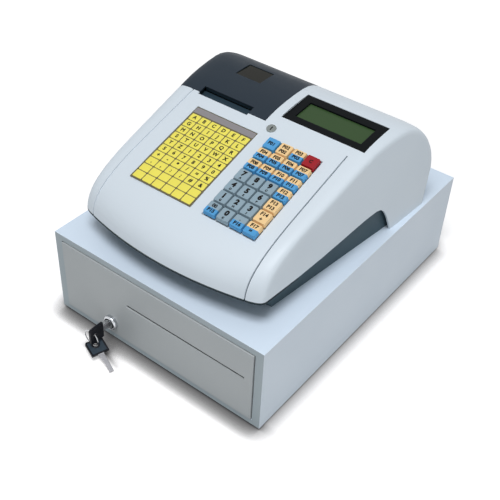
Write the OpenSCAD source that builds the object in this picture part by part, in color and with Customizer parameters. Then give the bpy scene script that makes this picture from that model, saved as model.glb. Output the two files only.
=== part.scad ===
// Electronic cash register on a metal cash drawer.
// Millimetres, +Z up. The front of the drawer faces -Y and the operator.
// All shapes are drawn with y = 0 at the middle of the drawer's depth; place() then moves them
// so that the origin is the middle of the whole footprint, keys included.

/* [Cash drawer] */
// Width of the drawer housing
drawer_w = 330; // [320:1:350]
// Depth of the drawer housing
drawer_d = 440; // [430:1:480]
// Height of the housing's top above the table, feet included
drawer_h = 130; // [126:1:150]
// Thickness of the housing and tray sheet metal
sheet = 1.5; // [1:0.1:2]
// Height of the rubber feet
foot_h = 4; // [3:0.5:8]
// Radius of the rubber feet
foot_r = 9; // [7:0.5:12]
// Width of the frame columns beside the front panel
column_w = 11.5; // [11:0.5:14]
// Height of the frame rail above the front panel
rail_h = 9; // [6:0.5:12]
// Height of the frame lip below the front panel
lip_h = 8; // [6:0.5:10]
// Gap all round the front panel
panel_gap = 0.8; // [0.5:0.1:1.5]
// Depth of the front panel's folded edges
panel_fold = 14; // [8:1:16]
// Length of the media slot in the front panel
media_slot_w = 184; // [120:1:200]
// Height of the media slot
media_slot_h = 1.6; // [1:0.1:3]

/* [Till] */
// Depth of the till tray, front to back
till_d = 330; // [300:1:340]
// Height of the till tray
till_h = 58; // [50:1:62]
// Wall of the till tray
till_wall = 2; // [1.5:0.1:3]
// Divider between two compartments
divider = 4; // [3.5:0.1:6]
// Number of note compartments and of coin cups in a row
columns = 4;
// Front-to-back length of one coin cup
cup_d = 52; // [40:1:60]
// Radius of a coin cup's scooped floor
cup_r = 32; // [30:1:40]
// Width of a note clip's arm
clip_w = 22; // [14:1:40]

/* [Lock] */
// Lock's place across the front panel
lock_x = -71.5; // [-100:0.5:100]
// Lock's height above the table
lock_z = 32; // [30:0.5:80]
// Radius of the lock's collar
collar_r = 10.5; // [9.5:0.5:14]
// Radius of the turning plug
plug_r = 6.5; // [5:0.1:7.5]
// Width of a key's bow
bow_w = 24; // [20:0.5:28]
// Length of a key's bow
bow_l = 22; // [18:0.5:26]
// Thickness of a key's bow
bow_t = 3.6; // [3:0.1:4]
// Radius of the key ring
ring_r = 11.3; // [11:0.1:12]

/* [Register shell] */
// Wall of the moulded shell
wall = 2.5; // [2:0.1:3]
// Height of the shell's highest point above the drawer
shell_h = 140.5; // [134:0.5:148]
// Angle of the keyboard slope
slope = 16.9; // [16:0.1:18]
// How far the middle of the front edge bulges forward of the seams
front_bow = 14.5; // [5:0.5:18]
// Height of the front edge above the drawer
front_edge_h = 36.8; // [30:0.1:42]
// Distance of the long seams from the middle
seam_x = 117; // [112:0.5:120]
// Drop of the surface from the seams to the sides
shoulder_drop = 10; // [6:0.5:12]
// Depth of the seam grooves
groove = 1.4; // [0.4:0.1:1.6]

/* [Keyboards] */
// Pitch of the raised keys
key_pitch = 19; // [18.5:0.1:19.2]
// Side of a keycap at its foot
cap_foot = 18; // [16:0.1:18.2]
// Side of a keycap at its top
cap_top = 16.2; // [14:0.1:17]
// Height of a keycap's top above the slope
cap_rise = 4.6; // [3:0.1:7]
// Travel of a key
key_travel = 3; // [2:0.1:3.2]
// Left edge of the raised keyboard
keys_x = 21; // [20:0.5:24]
// Left edge of the flat keyboard
flat_x = -92; // [-96:0.5:-90]
// Width of the flat keyboard
flat_w = 95; // [90:0.5:97]
// Length of both keyboards up the slope
keyboard_l = 132; // [131:0.5:134]

/* [Display and printer] */
// Width of the operator display's bezel
bezel_w = 119.5; // [100:0.5:124]
// Depth of the operator display's bezel
bezel_d = 57; // [50:1:58]
// Width of the display window
lcd_w = 95; // [70:1:97]
// Depth of the display window
lcd_d = 33; // [20:1:38]
// Radius of the paper roll
roll_r = 29; // [20:0.5:30]
// Length of the paper roll
roll_l = 57; // [50:0.5:58]
// Radius of the rubber platen
platen_r = 6; // [4:0.1:6.5]

/* [Clearances] */
// Gap between parts that only lie beside each other
gap = 0.3; // [0.2:0.05:0.5]
// Radial gap of a turning fit
fit = 0.05; // [0.02:0.01:0.1]

/* [Hidden] */
$fn = 48;

eps = 0.01;
origin_y = -24.38;
front_y = -drawer_d / 2;
back_y = drawer_d / 2;
top_z = drawer_h;
housing_x = drawer_w / 2;

shell_grey = "#dde2e8";
case_slate = "#4a5560";
cover_slate = "#3a4350";
steel = "#b9bcc0";

// Front panel and opening
open_x = housing_x - column_w;
open_z0 = foot_h + lip_h;
open_z1 = top_z - rail_h;

// Tray, slide bars and channels
bar_h = 12;
bar_z = foot_h + 50;
channel_in_x = open_x - 12.5;
tub_x = channel_in_x - 1;
tub_z = open_z0 + panel_gap + sheet + gap;
tub_y0 = front_y + sheet;
fold_y = front_y + panel_fold;
tub_y1 = back_y - 35;
tub_h = till_h + 10;
bar_x = open_x - 1;

// Till compartments
till_x = tub_x - sheet - gap;
till_y0 = fold_y + 14;
till_y1 = till_y0 + till_d;
till_z = tub_z + sheet;
comp_pitch = (2 * till_x - divider) / columns;
comp_w = comp_pitch - divider;
notes_y0 = till_y0 + divider + 2 * (cup_d + divider);
notes_d = till_y1 - divider - notes_y0;
clip_y = till_y1 - divider - 7;
clip_z = till_z + till_h - 9;
clip_pin_r = 2.5;
clip_arm_l = 88;

module place() {
    translate([0, -origin_y, 0]) children();
}

// A bar along X with a round section
module rod_x(x0, x1, y, z, r) {
    translate([x0, y, z]) rotate([0, 90, 0]) cylinder(r = r, h = x1 - x0);
}

// A plate drawn in the YZ plane and given thickness along X
module side_plate(x0, x1) {
    translate([x0, 0, 0]) rotate([90, 0, 90]) linear_extrude(x1 - x0) children();
}

module box(x0, x1, y0, y1, z0, z1) {
    translate([x0, y0, z0]) cube([x1 - x0, y1 - y0, z1 - z0]);
}

// ---- Cash drawer ----

module drawer_housing() color(shell_grey) place() {
    housing_box();
    housing_runners();
}

module housing_box() difference() {
    box(-housing_x, housing_x, front_y, back_y, foot_h, top_z);
    box(-housing_x + sheet, housing_x - sheet, front_y + sheet, back_y - sheet,
        foot_h + sheet, top_z - sheet);
    box(-open_x, open_x, front_y - 1, front_y + sheet + 1, open_z0, open_z1);
    // cable hole in the back
    translate([-60, back_y + 1, foot_h + 80]) rotate([90, 0, 0]) cylinder(r = 9, h = sheet + 2);
}

module rubber_feet() color("#2b2d30") place() for (x = [-1, 1]) for (y = [-1, 1])
    translate([x * (housing_x - 20), y * (drawer_d / 2 - 20), 0]) cylinder(r = foot_r, h = foot_h);

// Channels that carry the tray's slide bars, riveted to the housing's sides over spacers
module housing_runners() for (s = [-1, 1]) mirrored(s) {
    difference() {
        box(channel_in_x, bar_x + sheet + gap, fold_y + 1, back_y - 10,
            bar_z - sheet - gap, bar_z + bar_h + sheet + gap);
        box(channel_in_x - 1, bar_x + gap, fold_y, back_y - 9, bar_z - gap, bar_z + bar_h + gap);
    }
    for (y = [front_y + 30, 0, back_y - 60])
        box(bar_x + sheet + gap - eps, housing_x - sheet - gap, y, y + 24, bar_z, bar_z + bar_h);
}

module mirrored(s) {
    mirror([s < 0 ? 1 : 0, 0, 0]) children();
}

module drawer_tub() color("#c4c8cc") place() {
    difference() {
        box(-tub_x, tub_x, tub_y0, tub_y1, tub_z, tub_z + tub_h);
        box(-tub_x + sheet, tub_x - sheet, tub_y0 - 1, tub_y1 - sheet, tub_z + sheet, tub_z + tub_h + 1);
    }
    for (s = [-1, 1]) mirrored(s) difference() {
        box(tub_x - eps, bar_x, fold_y + 4, tub_y1 - 4, bar_z, bar_z + bar_h);
        box(tub_x - 1, bar_x - sheet, fold_y + 3, tub_y1 - 3, bar_z + sheet, bar_z + bar_h - sheet);
    }
}

panel_x = open_x - panel_gap;
panel_z0 = open_z0 + panel_gap;
panel_z1 = open_z1 - panel_gap;
media_z = panel_z0 + 0.58 * (panel_z1 - panel_z0);
media_x = 49;
barrel_r = plug_r + 2.5;

module drawer_front() color(shell_grey) place() difference() {
    box(-panel_x, panel_x, front_y, fold_y, panel_z0, panel_z1);
    box(-panel_x + sheet, panel_x - sheet, front_y + sheet, fold_y + 1, panel_z0 + sheet, panel_z1 - sheet);
    translate([media_x - media_slot_w / 2, front_y - 1, media_z])
        cube([media_slot_w, sheet + 2, media_slot_h]);
    translate([lock_x, front_y - 1, lock_z]) rotate([-90, 0, 0]) cylinder(r = barrel_r + gap, h = sheet + 2);
}

// A straight-walled pocket whose floor is scooped to a cylinder along X
module scooped_pocket(w, d, floor_z, top, r) intersection() {
    box(-w / 2, w / 2, -d / 2, d / 2, floor_z, top);
    union() {
        rod_x(-w, w, 0, floor_z + r, r);
        box(-w, w, -d, d, floor_z + r, top + 1);
    }
}

function comp_x(i) = -till_x + divider + comp_w / 2 + (i - 1) * comp_pitch;

// The tray itself: one bay for the loose coin cups and a bay for each stack of notes
module till_insert() color("#33363a") place() difference() {
    box(-till_x, till_x, till_y0, till_y1, till_z, till_z + till_h);
    box(-till_x + till_wall, till_x - till_wall, till_y0 + till_wall, notes_y0 - till_wall,
        till_z + till_wall, till_z + till_h + 1);
    for (i = [1:columns])
        translate([comp_x(i) - comp_w / 2, notes_y0, till_z + till_wall]) cube([comp_w, notes_d, till_h]);
    rod_x(-till_x + till_wall, till_x - till_wall, clip_y, clip_z, clip_pin_r + fit);
}

// Coin cups that lift out of the tray, two rows of them
cup_wall = (divider - gap) / 2;
module coin_cups() color("#3a3d42") place() for (i = [1:columns]) for (row = [0, 1])
    translate([comp_x(i), till_y0 + divider + cup_d / 2 + row * (cup_d + divider), 0]) difference() {
        box(-comp_w / 2 - cup_wall, comp_w / 2 + cup_wall, -cup_d / 2 - cup_wall, cup_d / 2 + cup_wall,
            till_z + till_wall, till_z + till_h);
        scooped_pocket(comp_w, cup_d, till_z + 2 * till_wall, till_z + till_h + 1, cup_r);
    }

// A note clip: a barrel that turns on its own two pins, and a sprung-looking arm with a flat pad
module bill_clip(i) color("#202226") place() translate([comp_x(i), clip_y, clip_z]) {
    pad_z = till_z + till_wall + gap - clip_z;
    rod_x(-comp_w / 2 - divider / 2 + gap, comp_w / 2 + divider / 2 - gap, 0, 0, clip_pin_r);
    rod_x(-comp_w / 2 + gap, comp_w / 2 - gap, 0, 0, clip_pin_r + 2);
    side_plate(-clip_w / 2, clip_w / 2)
        polygon([[0, clip_pin_r], [-clip_arm_l + 20, pad_z + 5], [-clip_arm_l, pad_z + 3],
            [-clip_arm_l, pad_z], [-clip_arm_l + 24, pad_z], [0, -clip_pin_r - 1]]);
}

module bill_clip_1() bill_clip(1);
module bill_clip_2() bill_clip(2);
module bill_clip_3() bill_clip(3);
module bill_clip_4() bill_clip(4);

// Solenoid on a foot plate; its plunger stands just behind the tray
module latch_solenoid() color(steel) place() {
    box(-24, 24, tub_y1 + 2, tub_y1 + 32, foot_h + sheet, foot_h + sheet + 2);
    box(-16, 16, tub_y1 + 8, tub_y1 + 28, foot_h + sheet + 2 - eps, foot_h + sheet + 26);
    translate([0, tub_y1 + gap, foot_h + sheet + 14]) rotate([-90, 0, 0]) cylinder(r = 4, h = 12);
}

// ---- Lock and keys ----

collar_t = 7.5;
barrel_l = 22;
plug_y0 = front_y - collar_t - 0.6;
blade_t = 2.2;
blade_h = 8;
slot_fit = 0.1;
key_in = 17;
key_out = 10.5;
bow_y1 = plug_y0 - key_out;
bow_y0 = bow_y1 - bow_l;
hole_r = 3.2;
hole_y = bow_y0 + 8;
hole_z = lock_z;

module lock_barrel() color("#d8dadd") place()
translate([lock_x, 0, lock_z]) rotate([-90, 0, 0]) difference() {
    union() {
        translate([0, 0, front_y - collar_t]) cylinder(r1 = collar_r - 1.2, r2 = collar_r, h = 1.2);
        translate([0, 0, front_y - collar_t + 1.2]) cylinder(r = collar_r, h = collar_t - 1.2);
        translate([0, 0, front_y - eps]) cylinder(r = barrel_r, h = barrel_l);
        translate([0, 0, front_y + sheet]) cylinder(r = barrel_r + 3, h = 3, $fn = 6);
    }
    translate([0, 0, front_y - collar_t - 1]) cylinder(r = plug_r + fit, h = barrel_l + collar_t + 2);
}

module lock_plug() color("#c9cbce") place() translate([lock_x, 0, lock_z]) difference() {
    union() {
        translate([0, plug_y0, 0]) rotate([-90, 0, 0])
            cylinder(r = plug_r, h = front_y + barrel_l + 1 - plug_y0);
        translate([-4.5, front_y + barrel_l + gap, -4.5]) cube([9, 2, 22]);
    }
    translate([-blade_t / 2 - slot_fit, plug_y0 - 1, -blade_h / 2 - slot_fit])
        cube([blade_t + 2 * slot_fit, key_in + 1, blade_h + 2 * slot_fit]);
}

// A key drawn flat: bow in -Y, blade towards +Y, faces square to Z. The shoulder is at y = 0.
module flat_key(blade_l) {
    corner = 3;
    difference() {
        union() {
            translate([-bow_w / 2 + corner, -bow_l, -bow_t / 2]) cube([bow_w - 2 * corner, bow_l, bow_t]);
            translate([-bow_w / 2, -bow_l + corner, -bow_t / 2]) cube([bow_w, bow_l - corner, bow_t]);
            for (s = [-1, 1])
                translate([s * (bow_w / 2 - corner), -bow_l + corner, -bow_t / 2])
                    cylinder(r = corner, h = bow_t);
        }
        translate([0, -bow_l + 8, -bow_t]) cylinder(r = hole_r, h = 2 * bow_t);
    }
    difference() {
        translate([-blade_h / 2, -6, -blade_t / 2]) cube([blade_h, blade_l + 6, blade_t]);
        for (n = [0:3])
            translate([blade_h / 2 + 1.2, blade_l - 4 - 4.2 * n, -blade_t])
                cylinder(r = 2.2, h = 2 * blade_t);
        translate([-blade_h, blade_l - 0.5, -blade_t]) rotate([0, 0, 35])
            cube([blade_h, blade_h, 2 * blade_t]);
    }
}

module drawer_key() color("#1f2124") place() translate([lock_x, bow_y1, lock_z]) rotate([0, 90, 0])
    flat_key(key_out + key_in);

// Ring in a plane across the inserted key, through both keys' holes
ring_drop = 18.6;
ring_dx = sqrt(pow(ring_r, 2) - pow(ring_drop / 2, 2));

module key_ring() color(steel) place()
    translate([lock_x - ring_dx, hole_y, hole_z - ring_drop / 2])
        rotate([90, 0, 0]) rotate_extrude() translate([ring_r, 0]) circle(r = 0.8);

// The spare key leans from the ring to the table
spare_yaw = -17.2;
spare_pitch = -15.4;
spare_blade = 29;
hole_from_shoulder = bow_l - 8;

module spare_key() color("#1f2124") place() translate([lock_x, hole_y, hole_z - ring_drop])
    rotate([0, 0, spare_yaw - 90]) rotate([spare_pitch, 0, 0]) translate([0, hole_from_shoulder, 0])
        flat_key(spare_blade);

// ---- Register shell ----

function bez(a, b, c, d, t) =
    pow(1 - t, 3) * a + 3 * pow(1 - t, 2) * t * b + 3 * (1 - t) * pow(t, 2) * c + pow(t, 3) * d;

function dir(angle) = [cos(angle), sin(angle)];

// Corners of the side outline, as [y, height above the drawer]
tip = [-196.5, front_edge_h];
slope_top = [0, shell_h - 8];
slope_low = [-105, slope_top[1] - 105 * tan(slope)];
crown = [70, shell_h];
rear = [153.5, 52];
rear_foot = [144, 0];
nose_steps = 9;
crown_steps = 4;
rear_steps = 10;
groove_end = -7;
groove_half_w = 0.9;

function slope_at(y) = [y, slope_top[1] + y * tan(slope)];

// The side outline with its front pushed forward by b
function outline(b) = concat(
    [[tip[0] - b + 2.5, 0]],
    [for (k = [0:nose_steps]) bez(tip - [b, 0], tip - [b, 0] + 28 * dir(85),
        slope_low - (68 + b / 2) * dir(slope), slope_low, k / nose_steps)],
    [slope_at(groove_end - 1), slope_at(groove_end)],
    [for (k = [0:crown_steps])
        bez(slope_top, slope_top + 19 * dir(slope), crown - [25, 0], crown, k / crown_steps)],
    [for (k = [1:rear_steps]) bez(crown, crown + [42, 0], rear + [0, 44], rear, k / rear_steps)],
    [rear_foot]);

first_cover = nose_steps + 2;
last_cover = first_cover + crown_steps + 10;
cover_front_y = groove_end - 1;

function unit(v) = v / norm(v);
function outward(p, i) =
    let (a = p[max(i - 1, 0)], b = p[min(i + 1, len(p) - 1)], t = unit(b - a)) [-t[1], t[0]];

// Half-width of the drafted sides at a point of the outline
function side_at(y, h) = 152 + 0.0616 * y - 0.0787 * h + 0.0002 * max(y, 0) * max(h, 0);
shoulder_n = 3.2;

// A slice across the shell is [0, x] up to the seams and [1, share] from the seams to the sides
function bow_at(s) = let (x = s[0] == 0 ? s[1] : seam_x + 1 + s[1] * 20) front_bow * (1 - pow(x / seam_x, 2));
function drop_at(s) = s[0] == 0 ? 0 : shoulder_drop * (1 - pow(1 - pow(s[1], shoulder_n), 1 / shoulder_n));
function in_groove(s) = s[0] == 0 && abs(s[1] - seam_x) < groove_half_w - 0.2;

// The x of a slice where it passes a point of the side outline
function across(s, sign, inset, y, h) =
    sign * (s[0] == 0 ? s[1] : seam_x + 1 + s[1] * (side_at(y, h) - inset - seam_x - 1));

function slice(s, sign, inset) =
    let (p = outline(bow_at(s)))
    [for (i = [0:len(p) - 1])
        let (g = in_groove(s) && p[i][0] < groove_end - 0.5 && inset == 0 ? groove : 0,
            q = p[i] - outward(p, i) * (inset + drop_at(s) + g))
        [across(s, sign, inset, q[0], q[1]), q[0], q[1]]];

fine_half = concat([for (x = [0:17.5:105]) [0, x]],
    [for (x = [-groove_half_w, 0.4 - groove_half_w, groove_half_w - 0.4, groove_half_w]) [0, seam_x + x]],
    [for (share = [0.3, 0.55, 0.72, 0.84, 0.92, 0.975, 1]) [1, share]]);
plain_half = [[0, 0], [0, 60], [0, seam_x], [1, 0.6], [1, 0.9], [1, 1]];

// The shell's outside, or a copy of it that lies further in, down to a level floor
module loft(half, inset, floor_h) {
    places = concat([for (k = [len(half) - 1:-1:1]) [half[k], -1]], [for (s = half) [s, 1]]);
    rows = [for (p = places) slice(p[0], p[1], inset)];
    n = len(rows[0]);
    below = [for (j = [0:len(rows) - 1]) [for (i = [0:n - 1])
        let (r = rows[j], y = r[0][1] + (r[n - 1][1] - r[0][1]) * i / (n - 1))
        [across(places[j][0], places[j][1], inset, y, floor_h), y, floor_h]]];
    pts = concat([for (r = rows) each r], [for (r = below) each r]);
    faces = halves(sheet_faces(len(rows), n));
    translate([0, 0, top_z]) polyhedron(points = pts, faces = faces, convexity = 8);
}

// Four-sided faces of a body between two grids of m rows by n points, the second grid listed last
function sheet_faces(m, n) =
    let (q = function(j, i) j * n + i, w = function(j, i) (m + j) * n + i)
    concat(
        [for (j = [0:m - 2]) for (i = [0:n - 2]) [q(j, i), q(j, i + 1), q(j + 1, i + 1), q(j + 1, i)]],
        [for (j = [0:m - 2]) for (i = [0:n - 2]) [w(j, i), w(j + 1, i), w(j + 1, i + 1), w(j, i + 1)]],
        [for (j = [0:m - 2]) [q(j, 0), q(j + 1, 0), w(j + 1, 0), w(j, 0)]],
        [for (j = [0:m - 2]) [q(j, n - 1), w(j, n - 1), w(j + 1, n - 1), q(j + 1, n - 1)]],
        [for (i = [0:n - 2]) [q(0, i), w(0, i), w(0, i + 1), q(0, i + 1)]],
        [for (i = [0:n - 2]) [q(m - 1, i), q(m - 1, i + 1), w(m - 1, i + 1), w(m - 1, i)]]);

// Two triangles for each four-sided face
function halves(quads) = [for (q = quads) each [[q[0], q[1], q[2]], [q[0], q[2], q[3]]]];

// A sheet between an outer and an inner row of slices, over a range of outline points
module shell_sheet(half, sign, inner, i0, i1) {
    outer_rows = [for (s = half) let (r = slice(s, sign, 0)) [for (i = [i0:i1]) r[i]]];
    inner_rows = [for (s = half) let (r = slice_in(s, sign, inner)) [for (i = [i0:i1]) r[i]]];
    pts = concat([for (r = outer_rows) each r], [for (r = inner_rows) each r]);
    faces = [for (q = sheet_faces(len(half), i1 - i0 + 1)) sign < 0 ? [q[3], q[2], q[1], q[0]] : q];
    translate([0, 0, top_z]) polyhedron(points = pts, faces = halves(faces), convexity = 8);
}

// The inner side of the cover keeps the outer side's x, so that its edges stay square
function slice_in(s, sign, inset) =
    let (p = outline(bow_at(s)), o = slice(s, sign, 0))
    [for (i = [0:len(p) - 1])
        let (q = p[i] - outward(p, i) * (inset + drop_at(s))) [o[i][0], q[0], q[1]]];

// Lower edge of the sides: nearly level, then round the arch to the rear legs
arch_top = [25.6, 46.3];
leg_front = [61, 0];
side_edge = concat(
    [[-300, -20], [-300, front_edge_h + 0.2], [-127, front_edge_h + 0.2], [-84, front_edge_h + 2],
        [-37, front_edge_h + 5.5], [4, arch_top[1] - 0.4]],
    [for (k = [0:6]) bez(arch_top, arch_top + [18, 0], leg_front + [-9, 22], leg_front, k / 6)],
    [[leg_front[0] + 1, 0], [300, 0], [300, -20]]);

// Shapes on the keyboard slope: s runs up the slope from the keyboards' lower edge
slope_y0 = -155.5;
module on_slope(x, s, out) {
    translate([x, slope_y0, top_z + slope_at(slope_y0)[1]]) rotate([slope, 0, 0])
        translate([0, s, out]) children();
}

// Shapes on the display's own plane
bezel_x = 71.2;
bezel_y = 35.5;
bezel_tilt = 6.4;
bezel_z = top_z + shell_h - 3.2;
module on_bezel(out) {
    translate([bezel_x, bezel_y, bezel_z]) rotate([bezel_tilt, 0, 0]) translate([0, 0, out]) children();
}

// Shapes on the rear display's plane
rear_lens_w = 92;
rear_lens_h = 30;
module on_rear(out) {
    translate([66, 143.4, top_z + shell_h - 50]) rotate([-62.2, 0, 0]) translate([0, 0, out]) children();
}

key_rows = 7;
key_cols = 4;
well_floor = -4;
deck_t = 2.5;
stem_r = 2.6;
board_top = -11.8;
board_t = 1.6;
cap_skirt = well_floor + key_travel + gap;
keys_w = key_cols * key_pitch;
keys_l = key_rows * key_pitch;

function key_x(c) = keys_x + (c - 0.5) * key_pitch;
function key_s(r) = keys_l - (r - 0.5) * key_pitch;

// Printer cover and its hinge
cover_x1 = -2;
cover_gap = 0.4;
cover_t = 2.5;
hinge_in = 2.4;
hinge_pin_r = 1.2;
lug_r = 2.2;
lug_w = 5;
lug_x = [-112, -24];
base_outline = outline(0);
cover_end = base_outline[last_cover];
down_back = unit(cover_end - base_outline[last_cover - 1]);
hinge_at = cover_end - outward(base_outline, last_cover) * hinge_in + down_back;
hinge_y = hinge_at[0];
hinge_z = top_z + hinge_at[1];

// Everything that lies above the sunk edge of the printer bay, as seen from the side
bay_sink = shoulder_drop + cover_t + cover_gap;
shell_edge = hinge_at + down_back * 2.2;
bay_side = concat(
    [[cover_front_y - cover_gap, 300], slope_at(cover_front_y - cover_gap) - [0, 30]],
    [for (i = [first_cover:last_cover - 1]) base_outline[i] - outward(base_outline, i) * bay_sink],
    [shell_edge - [bay_sink, 0], shell_edge + [20, 0], [300, shell_edge[1]], [300, 300]]);

boss_front = [108.7, -130];
boss_rear = [60, 124];
boss_r = 4.5;
screw_r = 1.5;
screw_head_r = 2.9;

module shell_bosses() {
    for (s = [-1, 1]) {
        translate([s * boss_front[0], boss_front[1], top_z + 4])
            cylinder(r = boss_r, h = slope_at(boss_front[1])[1] - 5.5);
        translate([s * boss_rear[0], boss_rear[1], top_z + 4]) cylinder(r = boss_r, h = base_rim_h + 14);
        translate([s * boss_rear[0] - 1.2, boss_rear[1], top_z + base_rim_h + 1]) cube([2.4, 35, 17]);
    }
}

// Brackets that hold the pins of the printer cover
module hinge_brackets() for (x = lug_x) difference() {
    union() {
        rod_x(x + lug_w + gap, x + 2 * lug_w + gap, hinge_y, hinge_z, lug_r);
        box(x + lug_w + gap, x + 2 * lug_w + gap, hinge_y - lug_r, hinge_y + 1, hinge_z - 14, hinge_z);
    }
    rod_x(x, x + 3 * lug_w, hinge_y, hinge_z, hinge_pin_r + fit);
}

module top_case() color(shell_grey) place() {
    shell_body();
    hinge_brackets();
}

module shell_body() difference() {
    union() {
        difference() {
            loft(fine_half, 0, -3);
            loft(plain_half, wall, -6);
        }
        intersection() {
            loft(plain_half, 1, -2);
            union() {
                on_slope(keys_x - wall, -wall, well_floor - deck_t)
                    cube([keys_w + 2 * wall, keys_l + 2 * wall, 6]);
                on_bezel(-bezel_t - bezel_sink - deck_t) linear_extrude(bezel_t + deck_t)
                    square([bezel_w + 2 * wall, bezel_d + 2 * wall], center = true);
                on_rear(-rear_t - 4) linear_extrude(rear_t)
                    square([rear_lens_w + 2 * wall, rear_lens_h + 2 * wall], center = true);
                shell_bosses();
            }
        }
        for (x = [flat_x + 6, keys_x + keys_w - 6]) for (s = [6, keyboard_l - 6])
            on_slope(x, s, board_top) cylinder(r = 3, h = -board_top - 1);
    }
    side_plate(-200, 200) translate([0, top_z]) polygon(side_edge);
    // printer bay, open at the top
    side_plate(-200, cover_x1 + cover_gap) translate([0, top_z]) polygon(bay_side);
    // well and stem guides of the raised keyboard
    on_slope(keys_x - 0.6, -0.6, well_floor) cube([keys_w + 1.2, keys_l + 1.2, 10]);
    for (r = [1:key_rows]) for (c = [1:key_cols])
        on_slope(key_x(c), key_s(r), -20) cylinder(r = stem_r + gap, h = 20);
    // shallow seat of the flat keyboard
    on_slope(flat_x - gap, -gap, -1.5) cube([flat_w + 2 * gap, keyboard_l + 2 * gap, 5]);
    // mode lock, displays, inlet and screws
    on_slope(mode_x, mode_s, -20) cylinder(r = mode_r + fit, h = 30);
    on_bezel(-bezel_t - bezel_sink) linear_extrude(40)
        square([bezel_w + 2 * gap, bezel_d + 2 * gap], center = true);
    on_bezel(-25) linear_extrude(40) square([bezel_w - 8, bezel_d - 8], center = true);
    on_rear(-rear_t) linear_extrude(30)
        square([rear_lens_w + 2 * gap, rear_lens_h + 2 * gap], center = true);
    on_rear(-20) linear_extrude(30) square([rear_lens_w, rear_lens_h] - rear_edge, center = true);
    inlet_hole();
    screw_holes(screw_r + fit);
    // room for the cover's lugs, and the front lip of the paper exit
    for (x = lug_x) rod_x(x - gap, x + lug_w + gap, hinge_y, hinge_z, lug_r + gap);
    paper_exit(cover_front_y - 3.6);
}

module screw_holes(r) {
    for (s = [-1, 1]) for (p = [boss_front, boss_rear])
        translate([s * p[0], p[1], top_z - 1]) cylinder(r = r, h = 22);
}

// Power inlet: its flange lies on the outside of the rear wall
inlet_w = 28;
inlet_h = 20;
inlet_up = 22;
rear_lean = (rear[0] - rear_foot[0]) / rear[1];
module inlet_at() {
    translate([-95, rear_foot[0] + inlet_up * rear_lean, top_z + inlet_up])
        rotate([-atan(rear_lean), 0, 0]) children();
}

module inlet_hole() inlet_at() cube([inlet_w + 2 * gap, 40, inlet_h + 2 * gap], center = true);

mode_x = 12.8;
mode_s = 146.8;
mode_r = 6.3;

// Lower case: a tapered tray that nests inside the shell's lower edge
function base_side_low(y) = 141 + 0.098 * y;
base_front_low = -158.6;
base_back = rear_foot[0] - wall - gap - 1;
base_rim_h = 52;
front_rim_h = 44;
corner_cut = 13;

// A ring of the base, seen from above: a bowed front, straight sides and cut rear corners
function base_ring(bow_y, bow, half_w, side_back, back) = concat(
    [for (k = [-6:6]) [half_w * k / 6, bow_y - bow * (1 - pow(k / 6, 2))]],
    [[side_back, back - corner_cut], [side_back - corner_cut, back], [-side_back + corner_cut, back],
        [-side_back, back - corner_cut]]);

module base_block(inset, floor_h, rim) {
    low = base_ring(base_front_low + inset + 5, 10, base_side_low(base_front_low) - inset,
        base_side_low(base_back) - inset, base_back - inset);
    high = base_ring(tip[0] + wall + 5.3 + inset, front_bow + 3.6, seam_x + 14 - inset,
        side_at(base_back, base_rim_h) - wall - gap - inset - 0.4, base_back + 5 - inset);
    n = len(low);
    pts = concat([for (p = low) [p[0], p[1], floor_h]], [for (p = high) [p[0], p[1], rim]]);
    faces = concat(
        [for (i = [0:n - 1]) each [[i, n + i, n + (i + 1) % n], [i, n + (i + 1) % n, (i + 1) % n]]],
        [for (i = [1:n - 2]) each [[0, i, i + 1], [n, n + i + 1, n + i]]]);
    translate([0, 0, top_z]) polyhedron(points = pts, faces = faces, convexity = 4);
}

module bottom_case() color(case_slate) place() difference() {
    union() {
        difference() {
            base_block(0, 0, base_rim_h);
            base_block(wall, wall, base_rim_h + 0.1);
            box(-housing_x, housing_x, -260, -100, top_z + front_rim_h, top_z + base_rim_h + 1);
        }
        for (p = frame_posts) translate([p[0], p[1], top_z + 1]) cylinder(r = 4, h = frame_h - 1);
    }
    for (s = [-1, 1]) for (p = [boss_front, boss_rear]) translate([s * p[0], p[1], top_z - 1]) {
        cylinder(r = screw_r + gap, h = 10);
        cylinder(r = screw_head_r + gap, h = 2.2);
    }
    inlet_hole();
}

module case_screws() color(steel) place()
    for (s = [-1, 1]) for (p = [boss_front, boss_rear]) translate([s * p[0], p[1], top_z]) {
        cylinder(r = screw_head_r, h = 1.2);
        cylinder(r = screw_r, h = 18);
    }

// ---- Printer ----

frame_h = shell_h - 80.5;
frame_posts = [[-110, 4], [-24, 4], [-110, 94], [-24, 94]];
roll_x = -77;
roll_y = 60;
roll_z = top_z + shell_h - 40.5;
cradle_t = 2.5;
cheek_t = 3;
mech_x0 = -116;
mech_x1 = -18;
platen_y = 14;
platen_z = top_z + shell_h - 27;
cheek_top = top_z + shell_h - 18.5;
chute_depth = 9;
journal_r = 2;

// Slot for the printed ticket, from front_edge_y to a little behind the cover's front edge
exit_x0 = -107;
exit_w = 79;
exit_y1 = 3;
module paper_exit(front_edge_y) on_slope(exit_x0, (front_edge_y - slope_y0) / cos(slope), -12)
    cube([exit_w, (exit_y1 - front_edge_y) / cos(slope), 24]);

module cover_cutouts() {
    paper_exit(cover_front_y - 1);
    window_box(0, top_z + shell_h - 20, top_z + shell_h + 20);
    // level lower edge at the back
    box(-200, 10, 120, 200, top_z + cover_end[1] - 20, top_z + cover_end[1] - 0.3);
    // room for the shell's hinge brackets
    for (x = lug_x) rod_x(x + lug_w + gap / 2, x + 2 * lug_w + 3 * gap, hinge_y, hinge_z, lug_r + 2 * gap);
}

window_w = 40;
window_d = 31;
window_x = -72;
window_y = 62;
window_sink = 3;
window_t = 2.2;

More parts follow.
